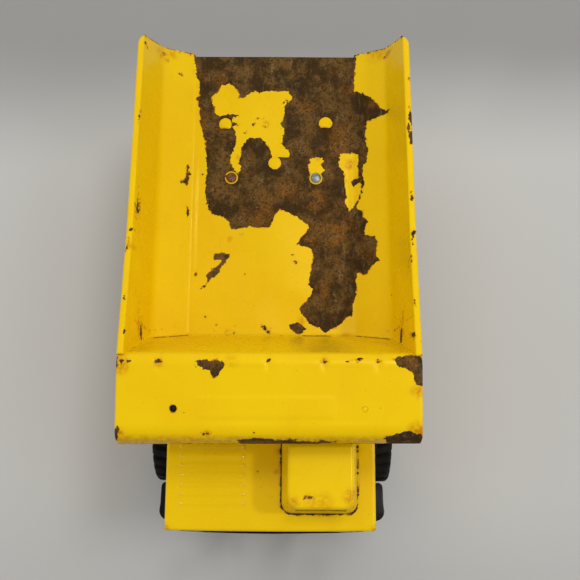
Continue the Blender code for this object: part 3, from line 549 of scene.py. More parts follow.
def pad_rubber():
    s = Shading("pad_rubber")
    color = s.mix(s.ramp(s.noise(6, 4), 0.4, 0.7), PAD_BLACK, PAD_DUST)
    return s.finish(color, s.ramp(s.noise(3), 0.3, 0.7, 0.78, 0.95), s.bump(s.noise(1), 0.2))


def hub_plastic():
    s = Shading("hub_paint")
    aged = s.ramp(s.noise(24, 3), 0.42, 0.64, 0.0, 0.5)
    color = s.mix(aged, HUB_YELLOW, HUB_AGED)
    grime = s.ramp(s.noise(7, 5, 0.65), 0.52, 0.74, 0.0, 0.35)
    color = s.mix(grime, color, HUB_GRIME)
    gloss = s.ramp(s.noise(10, 3), 0.35, 0.65, 0.30, 0.46)
    return s.finish(color, gloss, s.bump(s.noise(1.6, 2), 0.04))


def bright_steel(name, rust):
    """Plated steel with rust blooms; rust, from 0 to 1, says how far they have spread."""
    s = Shading(name)
    bloom = s.ramp(s.noise(5, 5, 0.65), 0.66 - 0.34 * rust, 0.76 - 0.30 * rust)
    steel = s.mix(s.ramp(s.noise(3, 3), 0.4, 0.6), STEEL_PALE, STEEL_DARK)
    browns = s.mix(s.ramp(s.noise(2, 4), 0.4, 0.62), RUST_BLOOM, RUST_ORANGE)
    color = s.mix(bloom, steel, browns)
    gloss = s.ramp(bloom, 0.0, 1.0, 0.48, 0.75)
    metal = s.ramp(bloom, 0.0, 1.0, 0.8, 0.15)
    return s.finish(color, gloss, s.bump(s.noise(0.8, 3), 0.06), metal)


def lamp_glass():
    s = Shading("lamp_lens")
    color = s.mix(s.ramp(s.noise(8, 3), 0.4, 0.7), LENS_CLEAR, LENS_AGED)
    s.shader.inputs["IOR"].default_value = 1.49
    s.shader.inputs["Transmission Weight"].default_value = 0.35
    return s.finish(color, s.ramp(s.noise(4), 0.4, 0.7, 0.08, 0.2), s.bump(s.noise(2), 0.02))


def glazing():
    s = Shading("clear_glazing")
    s.shader.inputs["IOR"].default_value = 1.49
    s.shader.inputs["Alpha"].default_value = 0.4
    color = s.mix(s.ramp(s.noise(15, 4), 0.42, 0.7), GLASS_CLEAR, GLASS_DUSTY)
    return s.finish(color, s.ramp(s.noise(9, 4), 0.4, 0.7, 0.05, 0.22))


def floor_cloth():
    s = Shading("studio_floor")
    wide = s.ramp(s.noise(420, 2, 0.5, s.stretched((1.0, 0.35, 1.0))), 0.36, 0.64)
    color = s.mix(wide, CLOTH_DARK, CLOTH_PALE)
    split = s.node("SeparateXYZ")
    s.fill(split.inputs[0], s.place)
    # Painted shade: the floor is darker in a band behind the truck and, less deeply, in a band
    # before it, standing in for the room's light falling away there. drift makes the bands' edges
    # wander.
    drift = s.times(s.less(s.noise(300, 2, seed=3.0), 0.5), 0.12)
    y = s.plus(split.outputs["Y"], drift)
    behind = s.times(s.ramp(y, 0.17, 0.33), s.ramp(y, 0.45, 0.90, 1.0, 0.0))
    color = s.mix(behind, color, CLOTH_SHADE_BEHIND)
    near = s.times(s.ramp(y, -0.16, -0.30), s.ramp(y, -0.45, -0.90, 1.0, 0.0))
    color = s.mix(near, color, CLOTH_SHADE_BEFORE)
    weave = s.bump(s.noise(1.2, 2), 0.05)
    return s.finish(color, s.ramp(s.noise(60), 0.3, 0.7, 0.85, 0.95), weave)


# ---------------------------------------------------------------- mesh building


def shade(mesh, smooth_under):
    """Smooth shading, with a crisp edge wherever faces meet at more than this angle."""
    mesh.shade_smooth()
    mesh.set_sharp_from_angle(angle=math.radians(smooth_under))


def new_piece(name, bm, materials, smooth_under=40, closed=True):
    if closed:
        bmesh.ops.recalc_face_normals(bm, faces=bm.faces)
    mesh = bpy.data.meshes.new(name)
    bm.to_mesh(mesh)
    bm.free()
    obj = bpy.data.objects.new(name, mesh)
    bpy.context.scene.collection.objects.link(obj)
    for material in materials:
        mesh.materials.append(material)
    shade(mesh, smooth_under)
    return obj


def settle(obj, smooth_under=None):
    """Turns an object's modifiers into its mesh."""
    graph = bpy.context.evaluated_depsgraph_get()
    mesh = bpy.data.meshes.new_from_object(obj.evaluated_get(graph))
    obj.modifiers.clear()
    obj.data = mesh
    if smooth_under is not None:
        shade(mesh, smooth_under)


def thicken(obj, thickness, even=True):
    """Gives an open sheet its metal, behind its visible side. Its back takes the second material."""
    modifier = obj.modifiers.new("metal", "SOLIDIFY")
    modifier.thickness = thickness * MM
    modifier.offset = -1.0
    modifier.use_even_offset = even
    modifier.material_offset = 1
    settle(obj)


def cut(obj, *tools, solver="EXACT"):
    """Cuts tools out of an object and removes them."""
    for tool in tools:
        modifier = obj.modifiers.new(tool.name, "BOOLEAN")
        modifier.operation = "DIFFERENCE"
        modifier.solver = solver
        modifier.object = tool
    settle(obj)
    for tool in tools:
        bpy.data.objects.remove(tool, do_unlink=True)


def grid_piece(name, grid, materials):
    """A sheet through a grid of points in millimetres, seen from the side where its rows run
    from left to right and follow each other up."""
    rows, columns = grid.shape[:2]
    index = np.arange(rows * columns).reshape(rows, columns)
    corners = (index[:-1, :-1], index[:-1, 1:], index[1:, 1:], index[1:, :-1])
    quads = np.stack(corners, axis=-1).reshape(-1, 4)
    mesh = bpy.data.meshes.new(name)
    mesh.from_pydata((grid.reshape(-1, 3) * MM).tolist(), [], quads.tolist())
    bm = bmesh.new()
    bm.from_mesh(mesh)
    bpy.data.meshes.remove(mesh)
    return new_piece(name, bm, materials, closed=False)


def rounded_path(corners, reaches, runs, turn):
    """Points along a bent line. Each inner corner is rounded from its reach before it to its
    reach after it, in so many turn steps, and each straight run has its own number of steps."""
    points = [corners[0]]
    for k in range(1, len(corners) - 1):
        corner = corners[k]
        before = (corners[k - 1] - corner).normalized() * reaches[k - 1]
        after = (corners[k + 1] - corner).normalized() * reaches[k - 1]
        start = points[-1]
        for i in range(1, runs[k - 1] + 1):
            points.append(start.lerp(corner + before, i / runs[k - 1]))
        for i in range(1, turn + 1):
            t = i / turn
            points.append(corner + before * (1 - t) ** 2 + after * t**2)
    start = points[-1]
    for i in range(1, runs[-1] + 1):
        points.append(start.lerp(corners[-1], i / runs[-1]))
    return points


def coordinates(obj):
    """An object's points as an array in millimetres."""
    flat = np.empty(len(obj.data.vertices) * 3)
    obj.data.vertices.foreach_get("co", flat)
    return flat.reshape(-1, 3) / MM


def measured(obj, name):
    """A point attribute's values."""
    values = np.empty(len(obj.data.vertices))
    obj.data.attributes[name].data.foreach_get("value", values)
    return values


def move_points(obj, points):
    obj.data.vertices.foreach_set("co", (points * MM).ravel())
    obj.data.update()


def smooth_step(values, low, high):
    t = np.clip((values - low) / (high - low), 0.0, 1.0)
    return t * t * (3 - 2 * t)


def plateau(values, span, rise, fall):
    """1 between the span's ends and 0 outside them, with smooth slopes of these lengths."""
    start, stop = span
    return smooth_step(values, start, start + rise) * smooth_step(-values, -stop, fall - stop)


def clamped(value):
    return min(max(value, 0), 1)


def reach_to(points, x, y):
    """Distance of points to a spot, in plan."""
    return np.hypot(points[..., 0] - x, points[..., 1] - y)


def turned(name, profile, steps, materials, axis, center=(0, 0, 0), smooth_under=40, wave=None):
    """A closed (radius, station) profile turned about an axis. wave(angle, radius, station)
    gives a new radius and station, for lugs and spokes."""
    place = {"X": (2, 0, 1), "Y": (0, 2, 1), "Z": (0, 1, 2)}[axis]
    bm = bmesh.new()
    rings = []
    for radius, station in profile:
        ring = []
        for k in range(1 if radius == 0 else steps):
            angle = math.tau * k / steps
            r, s = wave(angle, radius, station) if wave else (radius, station)
            local = (r * math.cos(angle), r * math.sin(angle), s)
            spot = Vector(center) + Vector([local[place[i]] for i in range(3)])
            ring.append(bm.verts.new(spot * MM))
        rings.append(ring)
    for i, ring in enumerate(rings):
        after = rings[(i + 1) % len(rings)]
        for k in range(steps):
            n = (k + 1) % steps
            a, b = ring[k % len(ring)], ring[n % len(ring)]
            c, d = after[n % len(after)], after[k % len(after)]
            corners = tuple(dict.fromkeys((a, b, c, d)))
            if len(corners) > 2:
                bm.faces.new(corners)
    return new_piece(name, bm, materials, smooth_under)


def refined(node, name, material, width):
    """A copy of a CAD node whose edges are rounded."""
    bm = bmesh.new()
    bm.from_mesh(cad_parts[node].data)
    bmesh.ops.remove_doubles(bm, verts=bm.verts, dist=0.002 * MM)
    flat = math.radians(1)
    bmesh.ops.dissolve_limit(bm, angle_limit=flat, verts=bm.verts, edges=bm.edges)
    obj = new_piece(name, bm, [material])
    modifier = obj.modifiers.new("edges", "BEVEL")
    modifier.width = width * MM
    modifier.segments = 2
    modifier.limit_method = "ANGLE"
    modifier.angle_limit = math.radians(32)
    settle(obj, 50)
    return obj


def mount(obj, body):
    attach(obj, body)


def stand_for(obj, node, body):
    mount(obj, body)
    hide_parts(node)


def tilted(obj, tilt, x, y, z):
    """Tilts an object's mesh about X and moves it into its place."""
    obj.data.transform(Matrix.Rotation(tilt, 4, "X"))
    obj.data.transform(Matrix.Translation(Vector((x, y, z)) * MM))
    return obj


# ---------------------------------------------------------------- worn paint


def outline_distance(points, outline):
    """Distance of plan points to a closed outline, negative inside it."""
    corners = np.array(outline, float)
    ends = np.roll(corners, -1, axis=0)
    best = np.full(len(points), 1e9)
    inside = np.zeros(len(points), bool)
    x, y = points[:, 0], points[:, 1]
    for a, b in zip(corners, ends):
        side = b - a
        share = np.clip(((points - a) @ side) / (side @ side), 0.0, 1.0)
        best = np.minimum(best, np.linalg.norm(points - (a + share[:, None] * side), axis=1))
        crosses = (a[1] > y) != (b[1] > y)
        if a[1] != b[1]:
            inside ^= crosses & (x < a[0] + (y - a[1]) / (b[1] - a[1]) * side[0])
    return np.where(inside, -best, best)


def spot_distance(points, spot):
    """Rough distance of plan points to a small ellipse, negative inside it."""
    x, y, long_half, short_half, turn = spot
    c, s = math.cos(math.radians(turn)), math.sin(math.radians(turn))
    dx, dy = points[:, 0] - x, points[:, 1] - y
    u = (dx * c + dy * s) / long_half
    v = (dy * c - dx * s) / short_half
    return (np.hypot(u, v) - 1) * short_half


def chip_distance(plan, outlines=(), spots=(), islands=()):
    """Distance of plan points to bare steel, negative on it."""
    worn = np.full(len(plan), CHIP_REACH)
    for outline in outlines:
        worn = np.minimum(worn, outline_distance(plan, outline))
    for island in islands:
        worn = np.maximum(worn, -outline_distance(plan, island))
    for spot in spots:
        worn = np.minimum(worn, spot_distance(plan, spot))
    return worn


def floor_distance(plan):
    """The same for the bed's floor, where the boss and the two lances keep their paint."""
    worn = chip_distance(plan, (WORN_FLOOR,), islands=PAINT_ISLANDS)
    x, y, radius = BOSS
    worn = np.maximum(worn, radius - reach_to(plan, x, y))
    for x, y, radius in LANCES:
        disc = reach_to(plan, x, y + LANCE_CENTER) - radius
        worn = np.maximum(worn, -np.maximum(disc, y - plan[:, 1]))
    return worn


def store(obj, name, values):
    attribute = obj.data.attributes.new(name, "FLOAT", "POINT")
    attribute.data.foreach_set("value", values.astype(np.float32))


def soft_spots(plan, spots):
    """From 0 to 1, how deep plan points lie in soft round spots of (x, y, radius, strength)."""
    best = np.zeros(len(plan))
    for x, y, radius, strength in spots:
        away = reach_to(plan, x, y) / radius
        best = np.maximum(best, strength * (1 - smooth_step(away, 0.2, 1.0)))
    return best


def kept_inside(obj):
    """Keeps a piece's last fractions of a millimetre within the CAD's own box."""
    low, high = (np.array(corner) / MM for corner in CAD_BOUNDS)
    move_points(obj, np.clip(coordinates(obj), low, high))


def wear(obj, chips, edge, stains=(), warm=(), ragged=None, washed=0.0):
    """Gives a piece the measures that its paint reads: how far each point is from bare steel
    and from a raw edge, how stained and how orange it is, and how ragged its chips are."""
    plan = plan_of(obj)
    store(obj, "chip_mm", np.clip(chips, -CHIP_REACH, CHIP_REACH))
    store(obj, "edge_mm", np.clip(edge, -2.0, CHIP_REACH))
    store(obj, "stain", np.maximum(soft_spots(plan, stains), washed))
    store(obj, "warm", soft_spots(plan, [(*spot, 0.85) for spot in warm]))
    store(obj, "ragged", np.ones(len(plan)) if ragged is None else ragged)


def plan_of(obj):
    return coordinates(obj)[:, :2]


def dented(points):
    """Pushes flat stretches down by the shallow dents."""
    for x, y, radius, depth in DENTS:
        away = reach_to(points, x, y) / radius
        points[..., 2] -= depth * np.clip(1 - away**2, 0, 1) ** 2
    return points


# ---------------------------------------------------------------- bed


def along(line, share):
    a, b = (Vector(p) for p in line)
    return a.lerp(b, share)


def rim_point(share):
    """(y, z) of the rim, which bends smoothly at its kink."""
    front, kink, tail = (Vector((0, *p)) for p in RIM_LINE)
    soft = 0.035
    if share < KINK_SHARE - soft:
        return front.lerp(kink, share / KINK_SHARE)
    if share > KINK_SHARE + soft:
        return kink.lerp(tail, (share - KINK_SHARE) / (1 - KINK_SHARE))
    t = (share - KINK_SHARE + soft) / (2 * soft)
    start = front.lerp(kink, 1 - soft / KINK_SHARE)
    stop = kink.lerp(tail, soft / (1 - KINK_SHARE))
    return start * (1 - t) ** 2 + kink * 2 * t * (1 - t) + stop * t**2


def bed_row(share):
    floor = along(FLOOR_LINE, share)
    crease = along(CREASE_LINE, share)
    rim = rim_point(share)
    half = [
        floor,
        crease,
        Vector((RIM_INNER, rim.y, rim.z)),
        Vector((RIM_OUTER, rim.y, rim.z)),
        Vector((RIM_OUTER, rim.y, rim.z - RIM_DOWN)),
    ]
    corners = [Vector((-p.x, p.y, p.z)) for p in reversed(half)] + half
    reaches = [2.4, 1.3, 5.0, 1.6, 1.6, 5.0, 1.3, 2.4]
    runs = [1, 2, 22, 17, 104, 17, 22, 2, 1]
    return rounded_path(corners, reaches, runs, 4)


def raised_floor(points):
    """Adds the round boss and the two half-round lances to the floor."""
    x, y, radius = BOSS
    away = reach_to(points, x, y)
    points[..., 2] += 0.9 * smooth_step(radius - away, 0.0, 1.6)
    for x, y, radius in LANCES:
        away = reach_to(points, x, y + LANCE_CENTER)
        slope = np.clip((y + LANCE_LENGTH - points[..., 1]) / LANCE_LENGTH, 0, 1)
        tab = smooth_step(radius - away, 0.0, 1.5) * (points[..., 1] > y - 0.1)
        points[..., 2] += 2.0 * tab * slope
    return points


def round_tail_corner(points):
    """Rounds the rim's outer corner at the tail, in plan."""
    start = RIM_LINE[2][0] - TAIL_CORNER_R
    past = np.clip(points[..., 1] - start, 0, TAIL_CORNER_R)
    inset = TAIL_CORNER_R - np.sqrt(np.maximum(TAIL_CORNER_R**2 - past**2, 0.0))
    near_rim = smooth_step(np.abs(points[..., 0]), 112.5, RIM_OUTER)
    points[..., 0] -= np.sign(points[..., 0]) * 0.75 * inset * near_rim
    return points


def with_front_flange(grid):
    """Turns the tub's front edge up against the leaning front wall. Also gives each point's
    distance from the flange's raw edge, which paint has filled along most of the floor."""
    lean = math.atan(WALL_LEAN)
    normal = np.array([0, math.cos(lean), math.sin(lean)])
    edge = grid[0] + np.array([0, -1.2, 0])
    tangent = np.gradient(edge, axis=0)
    inward = np.cross(tangent, normal)
    inward /= np.linalg.norm(inward, axis=1)[:, None]
    onward = grid[4] - grid[0]
    onward /= np.linalg.norm(onward, axis=1)[:, None]
    share = np.clip(1 - smooth_step(np.abs(edge[:, 0]), 108, 114), 0.06, 1)[:, None]
    rows = [edge + inward * FLANGE * share, edge + inward * 0.75 * FLANGE * share]
    depths = [0.0, 0.25 * FLANGE]
    radius = 0.5 * FLANGE * share
    for k in range(7):
        t = k / 6
        rows.append(edge + inward * radius * (1 - t) ** 2 + onward * radius * t**2)
        depths.append(FLANGE * (0.5 + t))
    full = np.concatenate([np.array(rows), grid[3:]])
    measure = np.full(full.shape[:2], CHIP_REACH)
    for k, depth in enumerate(depths):
        measure[k] = depth
    x = edge[:, 0]
    filled = (np.abs(x) < FILLED_HALF) & ~((x > OPEN_JOINT_X[0]) & (x < OPEN_JOINT_X[1]))
    filled |= np.abs(x) > FILLED_FROM
    return full, measure + np.where(filled, 1.3, -0.5)[None, :]


def step_at_tail(grid):
    """The floor ends a little before the sloping sides do."""
    floor = np.abs(grid[..., 0]) < 75.3
    back = TAIL_STEP * smooth_step(grid[..., 1], 195, TAIL_Y)
    grid[..., 1] -= np.where(floor, back, 0)
    return grid


def build_bed(paint, back):
    steps = 170
    grid = np.array([bed_row(k / steps) for k in range(steps + 1)])
    floor = np.abs(grid[..., 0]) < 70
    inner = floor & (grid[..., 2] < 170)
    grid = np.where(inner[..., None], raised_floor(dented(grid.copy())), grid)
    grid = step_at_tail(round_tail_corner(grid))
    grid, from_front = with_front_flange(grid)
    bed = grid_piece("bed_tub", grid, [paint, back])
    store(bed, "front_mm", from_front.ravel())
    thicken(bed, SHEET)
    kept_inside(bed)
    x, y, z = coordinates(bed).T
    plan = plan_of(bed)
    tail = TAIL_Y - (z - TAIL_Z) * 12 / 58 - y
    floor_tail = smooth_step(np.abs(x), 74, 77)
    front = measured(bed, "front_mm")
    edge = np.minimum(tail + 6 * (1 - floor_tail), front)
    chips = np.minimum(floor_distance(plan), chip_distance(plan, FLOOR_CHIPS, BED_SPOTS))
    rim = chip_distance(plan, RIM_CHIPS, islands=RIM_ISLANDS)
    pressed = [(*BOSS[:2], BOSS[2] + 4, 0.85)]
    pressed += [(x, y + LANCE_CENTER, radius + 4, 0.8) for x, y, radius in LANCES]
    pressed += [(side * 109.5, -57, 16, 0.6) for side in (-1, 1)]
    ragged = 1 - np.clip(2 * soft_spots(plan, pressed), 0, 0.8)
    wear(bed, np.minimum(chips, rim), edge, BED_STAINS, WARM_RUST, ragged)
    stand_for(bed, "bed_shell", "dump_bed")


# ---------------------------------------------------------------- canopy


def canopy_profile():
    corners = [Vector(p) for p in CANOPY_LINE]
    reaches = [3.0, 0.5, 9.0, 4.0, 4.5]
    runs = [6, 30, 3, 36, 3, 4]
    return rounded_path(corners, reaches, runs, 6)


def canopy_row(point, ahead, step):
    """One row across the stamping, from its left flange (+X) to its right one. ahead is the
    way along the profile, and the flanges stand square to it, on the inner side."""
    half = point.x
    flange = Vector((0, -ahead.z, ahead.y)).normalized() * CANOPY_FLANGE
    left = Vector((half, point.y, point.z))
    right = Vector((-half, point.y, point.z))
    corners = [left + flange, left, right, right + flange]
    return rounded_path(corners, [2.4, 2.4], [2, step, 2], 5)


def pressed_canopy(grid):
    """Presses the darts into the rear bend and raises the plain front panel."""
    x, y = grid[..., 0], grid[..., 1]
    on_top = (grid[..., 2] > 241) & (y < -79)
    for dart in DART_X:
        across = np.exp(-(((x - dart) / 2.1) ** 2))
        length = smooth_step(y, -99, -90)
        grid[..., 2] -= DART_DEPTH * across * length * on_top
    panel = PANEL_RISE * plateau(x, PANEL_X, 4, 4) * plateau(y, PANEL_Y, 3, 3)
    grid[..., 2] += panel * on_top
    return grid


def build_canopy(paint, back):
    profile = canopy_profile()
    last = len(profile) - 1
    ahead = [profile[min(k + 1, last)] - profile[max(k - 1, 0)] for k in range(last + 1)]
    grid = np.array([canopy_row(p, way, 150) for p, way in zip(profile, ahead)])
    flat = (grid[..., 1] < -92) & (grid[..., 1] > -136) & (np.abs(grid[..., 0]) < 114)
    grid = np.where(flat[..., None], dented(grid.copy()), grid)
    grid = pressed_canopy(grid)
    left_share = 0.5 - grid[..., 0] / 240
    grid[..., 1] -= LIP_SKEW * left_share * smooth_step(-grid[..., 1], 85, 150)
    canopy = grid_piece("canopy_stamping", grid, [paint, back])
    thicken(canopy, SHEET, even=False)
    tools = []
    for side, radius in ((-1, HOLE_R), (1, RIVET_HOLE_R)):
        profile = [(0, -8), (radius, -8), (radius, 8), (0, 8)]
        center = (side * HOLE_X, HOLE_Y, HOLE_Z)
        tools.append(turned(f"hole_{side}", profile, 40, [back], "Z", center))
    cut(canopy, *tools, solver="FAST")
    kept_inside(canopy)
    x, y, z = coordinates(canopy).T
    plan = plan_of(canopy)
    foot = z - CANOPY_LINE[0][2]
    lip = z - CANOPY_LINE[-1][2] + 8 * (y > -138)
    edge = np.where(y < -120, lip, foot + 1.0)
    hole = reach_to(plan, -HOLE_X, HOLE_Y) - HOLE_R
    rivet = np.abs(reach_to(plan, HOLE_X, HOLE_Y) - 2.2)
    edge = np.minimum(edge, np.minimum(hole + 0.1, rivet + 0.5))
    crisp = [(side * HOLE_X, HOLE_Y, 9, 1.0) for side in (-1, 1)]
    ragged = 1 - np.clip(2 * soft_spots(plan, crisp), 0, 0.85)
    lip_wash = 0.5 * smooth_step(-y, 143.5, 148) * (z > 200)
    chips = chip_distance(plan, CANOPY_CHIPS, CANOPY_SPOTS)
    wear(canopy, chips, edge, CANOPY_STAINS, ragged=ragged, washed=lip_wash)
    stand_for(canopy, "canopy_panel", "dump_bed")


def build_fasteners(steel, rusty, paint_back, black):
    """Domed bed rivets, one rusted and one bright, in raised seats of paint, the canopy's flush
    rivet, and a black plug in the canopy's open hole: painted shade for the dark seen through it."""
    for side, hand, material in ((1, "left", steel), (-1, "right", rusty)):
        profile = [(0, 1.9), (1.6, 1.8), (3.0, 1.5), (4.1, 1.0), (4.7, 0.6), (4.9, 0.3)]
        profile += [(2, 0.3), (2, -3.6), (3.5, -3.6), (3.2, -4.4), (2.0, -5.0), (0, -5.2)]
        place = (FLOOR_TILT, side * RIVET_X, RIVET_Y, RIVET_Z)
        head = tilted(turned(f"bed_rivet_head_{hand}", profile, 48, [material], "Z"), *place)
        stand_for(head, f"bed_rivet_{hand}", "dump_bed")
        seat = [(4.9, 0.0), (4.9, 0.5), (5.3, 0.75), (5.8, 0.6), (6.1, 0.0)]
        ring = tilted(turned(f"bed_rivet_seat_{hand}", seat, 48, [paint_back], "Z"), *place)
        mount(ring, "dump_bed")
    # Painted shade: a black disc sunk in the canopy's open hole stands in for the dark seen through
    # it.
    plug = [(0, -1.3), (1.9, -1.5), (2.75, -1.9), (2.75, -4.5), (0, -4.5)]
    obj = turned("hole_plug", plug, 40, [black], "Z")
    mount(tilted(obj, CANOPY_TILT, -HOLE_X, HOLE_Y, HOLE_Z), "dump_bed")
    profile = [(0, 0.05), (1.2, 0.05), (1.9, -0.15), (2.0, -0.4), (2.0, -1.8), (3.4, -1.8)]
    profile += [(3.1, -2.7), (2.0, -3.3), (0, -3.4)]
    obj = turned("canopy_rivet_head", profile, 40, [paint_back], "Z")
    tilted(obj, CANOPY_TILT, HOLE_X, HOLE_Y, HOLE_Z)
    stand_for(obj, "canopy_rivet", "dump_bed")


# ---------------------------------------------------------------- hood and cab


def stops(*pieces):
    """Grid lines from (start, stop, step) pieces, each piece evenly filled."""
    values = []
    for low, high, step in pieces:
        count = max(1, round((high - low) / step))
        values += list(np.linspace(low, high, count + 1))
    return sorted(set(round(v, 4) for v in values))


def add_grid(bm, us, vs, place):
    verts = [[bm.verts.new(Vector(place(u, v)) * MM) for u in us] for v in vs]
    for low, high in zip(verts, verts[1:]):
        for k in range(len(us) - 1):
            bm.faces.new((low[k], low[k + 1], high[k + 1], high[k]))


def rounded_corner(point, low, high, radius):
    """Moves a point of a box's surface onto the box with rounded edges. The box is open
    behind (+Y) and below, so it isn't rounded there."""
    inner = Vector((
        min(max(point.x, low.x + radius), high.x - radius),
        max(point.y, low.y + radius),
        min(point.z, high.z - radius),
    ))
    away = point - inner
    return inner + away.normalized() * radius if away.length > 1e-6 else point


def build_hood(paint, back):
    low, high = (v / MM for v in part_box("hood_shell"))
    r = HOOD_EDGE_R
    rib_start, rib_stop = RIB_X
    xs = stops(
        (low.x, low.x + r, 0.8),
        (low.x + r, rib_start - 2, 3),
        (rib_start - 2, rib_start + 6, 1),
        (rib_start + 6, rib_stop - 6, 4),
        (rib_stop - 6, rib_stop + 2, 1),
        (rib_stop + 2, high.x - r, 3),
        (high.x - r, high.x, 0.8),
    )
    rib_rows = (-200, -142)
    ys = stops(
        (low.y, low.y + r, 0.8),
        (low.y + r, rib_rows[0], 2.5),
        (*rib_rows, 0.9),
        (rib_rows[1], high.y, 4),
    )
    zs = stops((low.z, high.z - r, 4), (high.z - r, high.z, 0.8))
    bm = bmesh.new()
    add_grid(bm, xs, ys, lambda u, v: (u, v, high.z))
    add_grid(bm, xs, zs, lambda u, v: (u, low.y, v))
    add_grid(bm, ys, zs, lambda u, v: (high.x, u, v))
    add_grid(bm, list(reversed(ys)), zs, lambda u, v: (low.x, u, v))
    bmesh.ops.remove_doubles(bm, verts=bm.verts, dist=0.001 * MM)
    for vert in bm.verts:
        vert.co = rounded_corner(vert.co / MM, low, high, r) * MM
    hood = new_piece("hood_stamping", bm, [paint, back], closed=False)
    points = coordinates(hood)
    bow = 0.8 * (points[:, 0] / high.x) ** 2
    points[:, 1] += bow * smooth_step(-points[:, 1], 150, 216)
    deck = points[:, 2] > high.z - 0.1
    ends = plateau(points[:, 0], RIB_X, 4, 2)
    for k in range(RIB_COUNT):
        off = np.abs(points[:, 1] - RIB_FIRST_Y + k * RIB_PITCH)
        points[:, 2] += RIB_RISE * ends * deck * (1 - smooth_step(off, 0.4, 2.8))
    move_points(hood, points)
    thicken(hood, SHEET)
    arch = [(0, low.x - 20), (ARCH_R, low.x - 20), (ARCH_R, high.x + 20), (0, high.x + 20)]
    tools = [turned("arch", arch, 96, [back], "X", (0, AXLE_Y["front"], AXLE_Z))]
    for side in (-1, 1):
        lamp = [(0, low.y - 10), (LAMP_R, low.y - 10), (LAMP_R, low.y + 15), (0, low.y + 15)]
        tools.append(turned(f"lamp_{side}", lamp, 64, [back], "Y", (side * LAMP_X, 0, LAMP_Z)))
    grille_x = (-GRILLE_HALF, GRILLE_HALF)
    tools.append(rounded_block("grille", grille_x, GRILLE_Z, 3, low.y - 10, low.y + 12, back))
    cut(hood, *tools)
    x, y, z = coordinates(hood).T
    plan = plan_of(hood)
    corner = np.hypot(np.abs(x) - 90, y + 217.2)
    arch_gap = np.hypot(y - AXLE_Y["front"], z - AXLE_Z) - ARCH_R
    edge = np.minimum(np.minimum(z - low.z, corner - 1.0), arch_gap + 0.3)
    foot = rounded_rectangle(CAB_BASE_X, CAB_BASE_Y, CAB_CORNER)
    around_foot = np.abs(outline_distance(plan, foot))
    crack = around_foot - 1.5
    chips = np.minimum(chip_distance(plan, spots=HOOD_SPOTS), crack)
    ragged = 0.4 + 0.6 * smooth_step(around_foot, 3, 6)
    wear(hood, chips, edge, HOOD_STAINS, ragged=ragged)
    stand_for(hood, "hood_shell", "chassis")


def rounded_block(name, x, z, radius, near, far, material):
    """A block along Y whose outline in X and Z has rounded corners."""
    outline = rounded_rectangle(x, z, radius)
    bm = bmesh.new()
    ends = [[bm.verts.new(Vector((u, y, v)) * MM) for u, v in outline] for y in (near, far)]
    bm.faces.new(ends[0])
    bm.faces.new(reversed(ends[1]))
    for k in range(len(outline)):
        n = (k + 1) % len(outline)
        bm.faces.new((ends[0][k], ends[1][k], ends[1][n], ends[0][n]))
    return new_piece(name, bm, [material])


def rounded_rectangle(x, y, radius, turn=5, side=1):
    """Points round a rectangle with rounded corners, counter-clockwise. Each corner has so many
    turn steps and each side so many steps."""
    points = []
    centers = (
        (x[1] - radius, y[1] - radius, 0),
        (x[0] + radius, y[1] - radius, 90),
        (x[0] + radius, y[0] + radius, 180),
        (x[1] - radius, y[0] + radius, 270),
    )
    for k, (cx, cy, start) in enumerate(centers):
        for i in range(turn + 1):
            angle = math.radians(start + 90 * i / turn)
            points.append((cx + radius * math.cos(angle), cy + radius * math.sin(angle)))
        nx, ny, nstart = centers[(k + 1) % 4]
        angle = math.radians(nstart)
        after_x = nx + radius * math.cos(angle)
        after_y = ny + radius * math.sin(angle)
        last_x, last_y = points[-1]
        for i in range(1, side):
            share = i / side
            points.append((last_x + (after_x - last_x) * share, last_y + (after_y - last_y) * share))
    return points


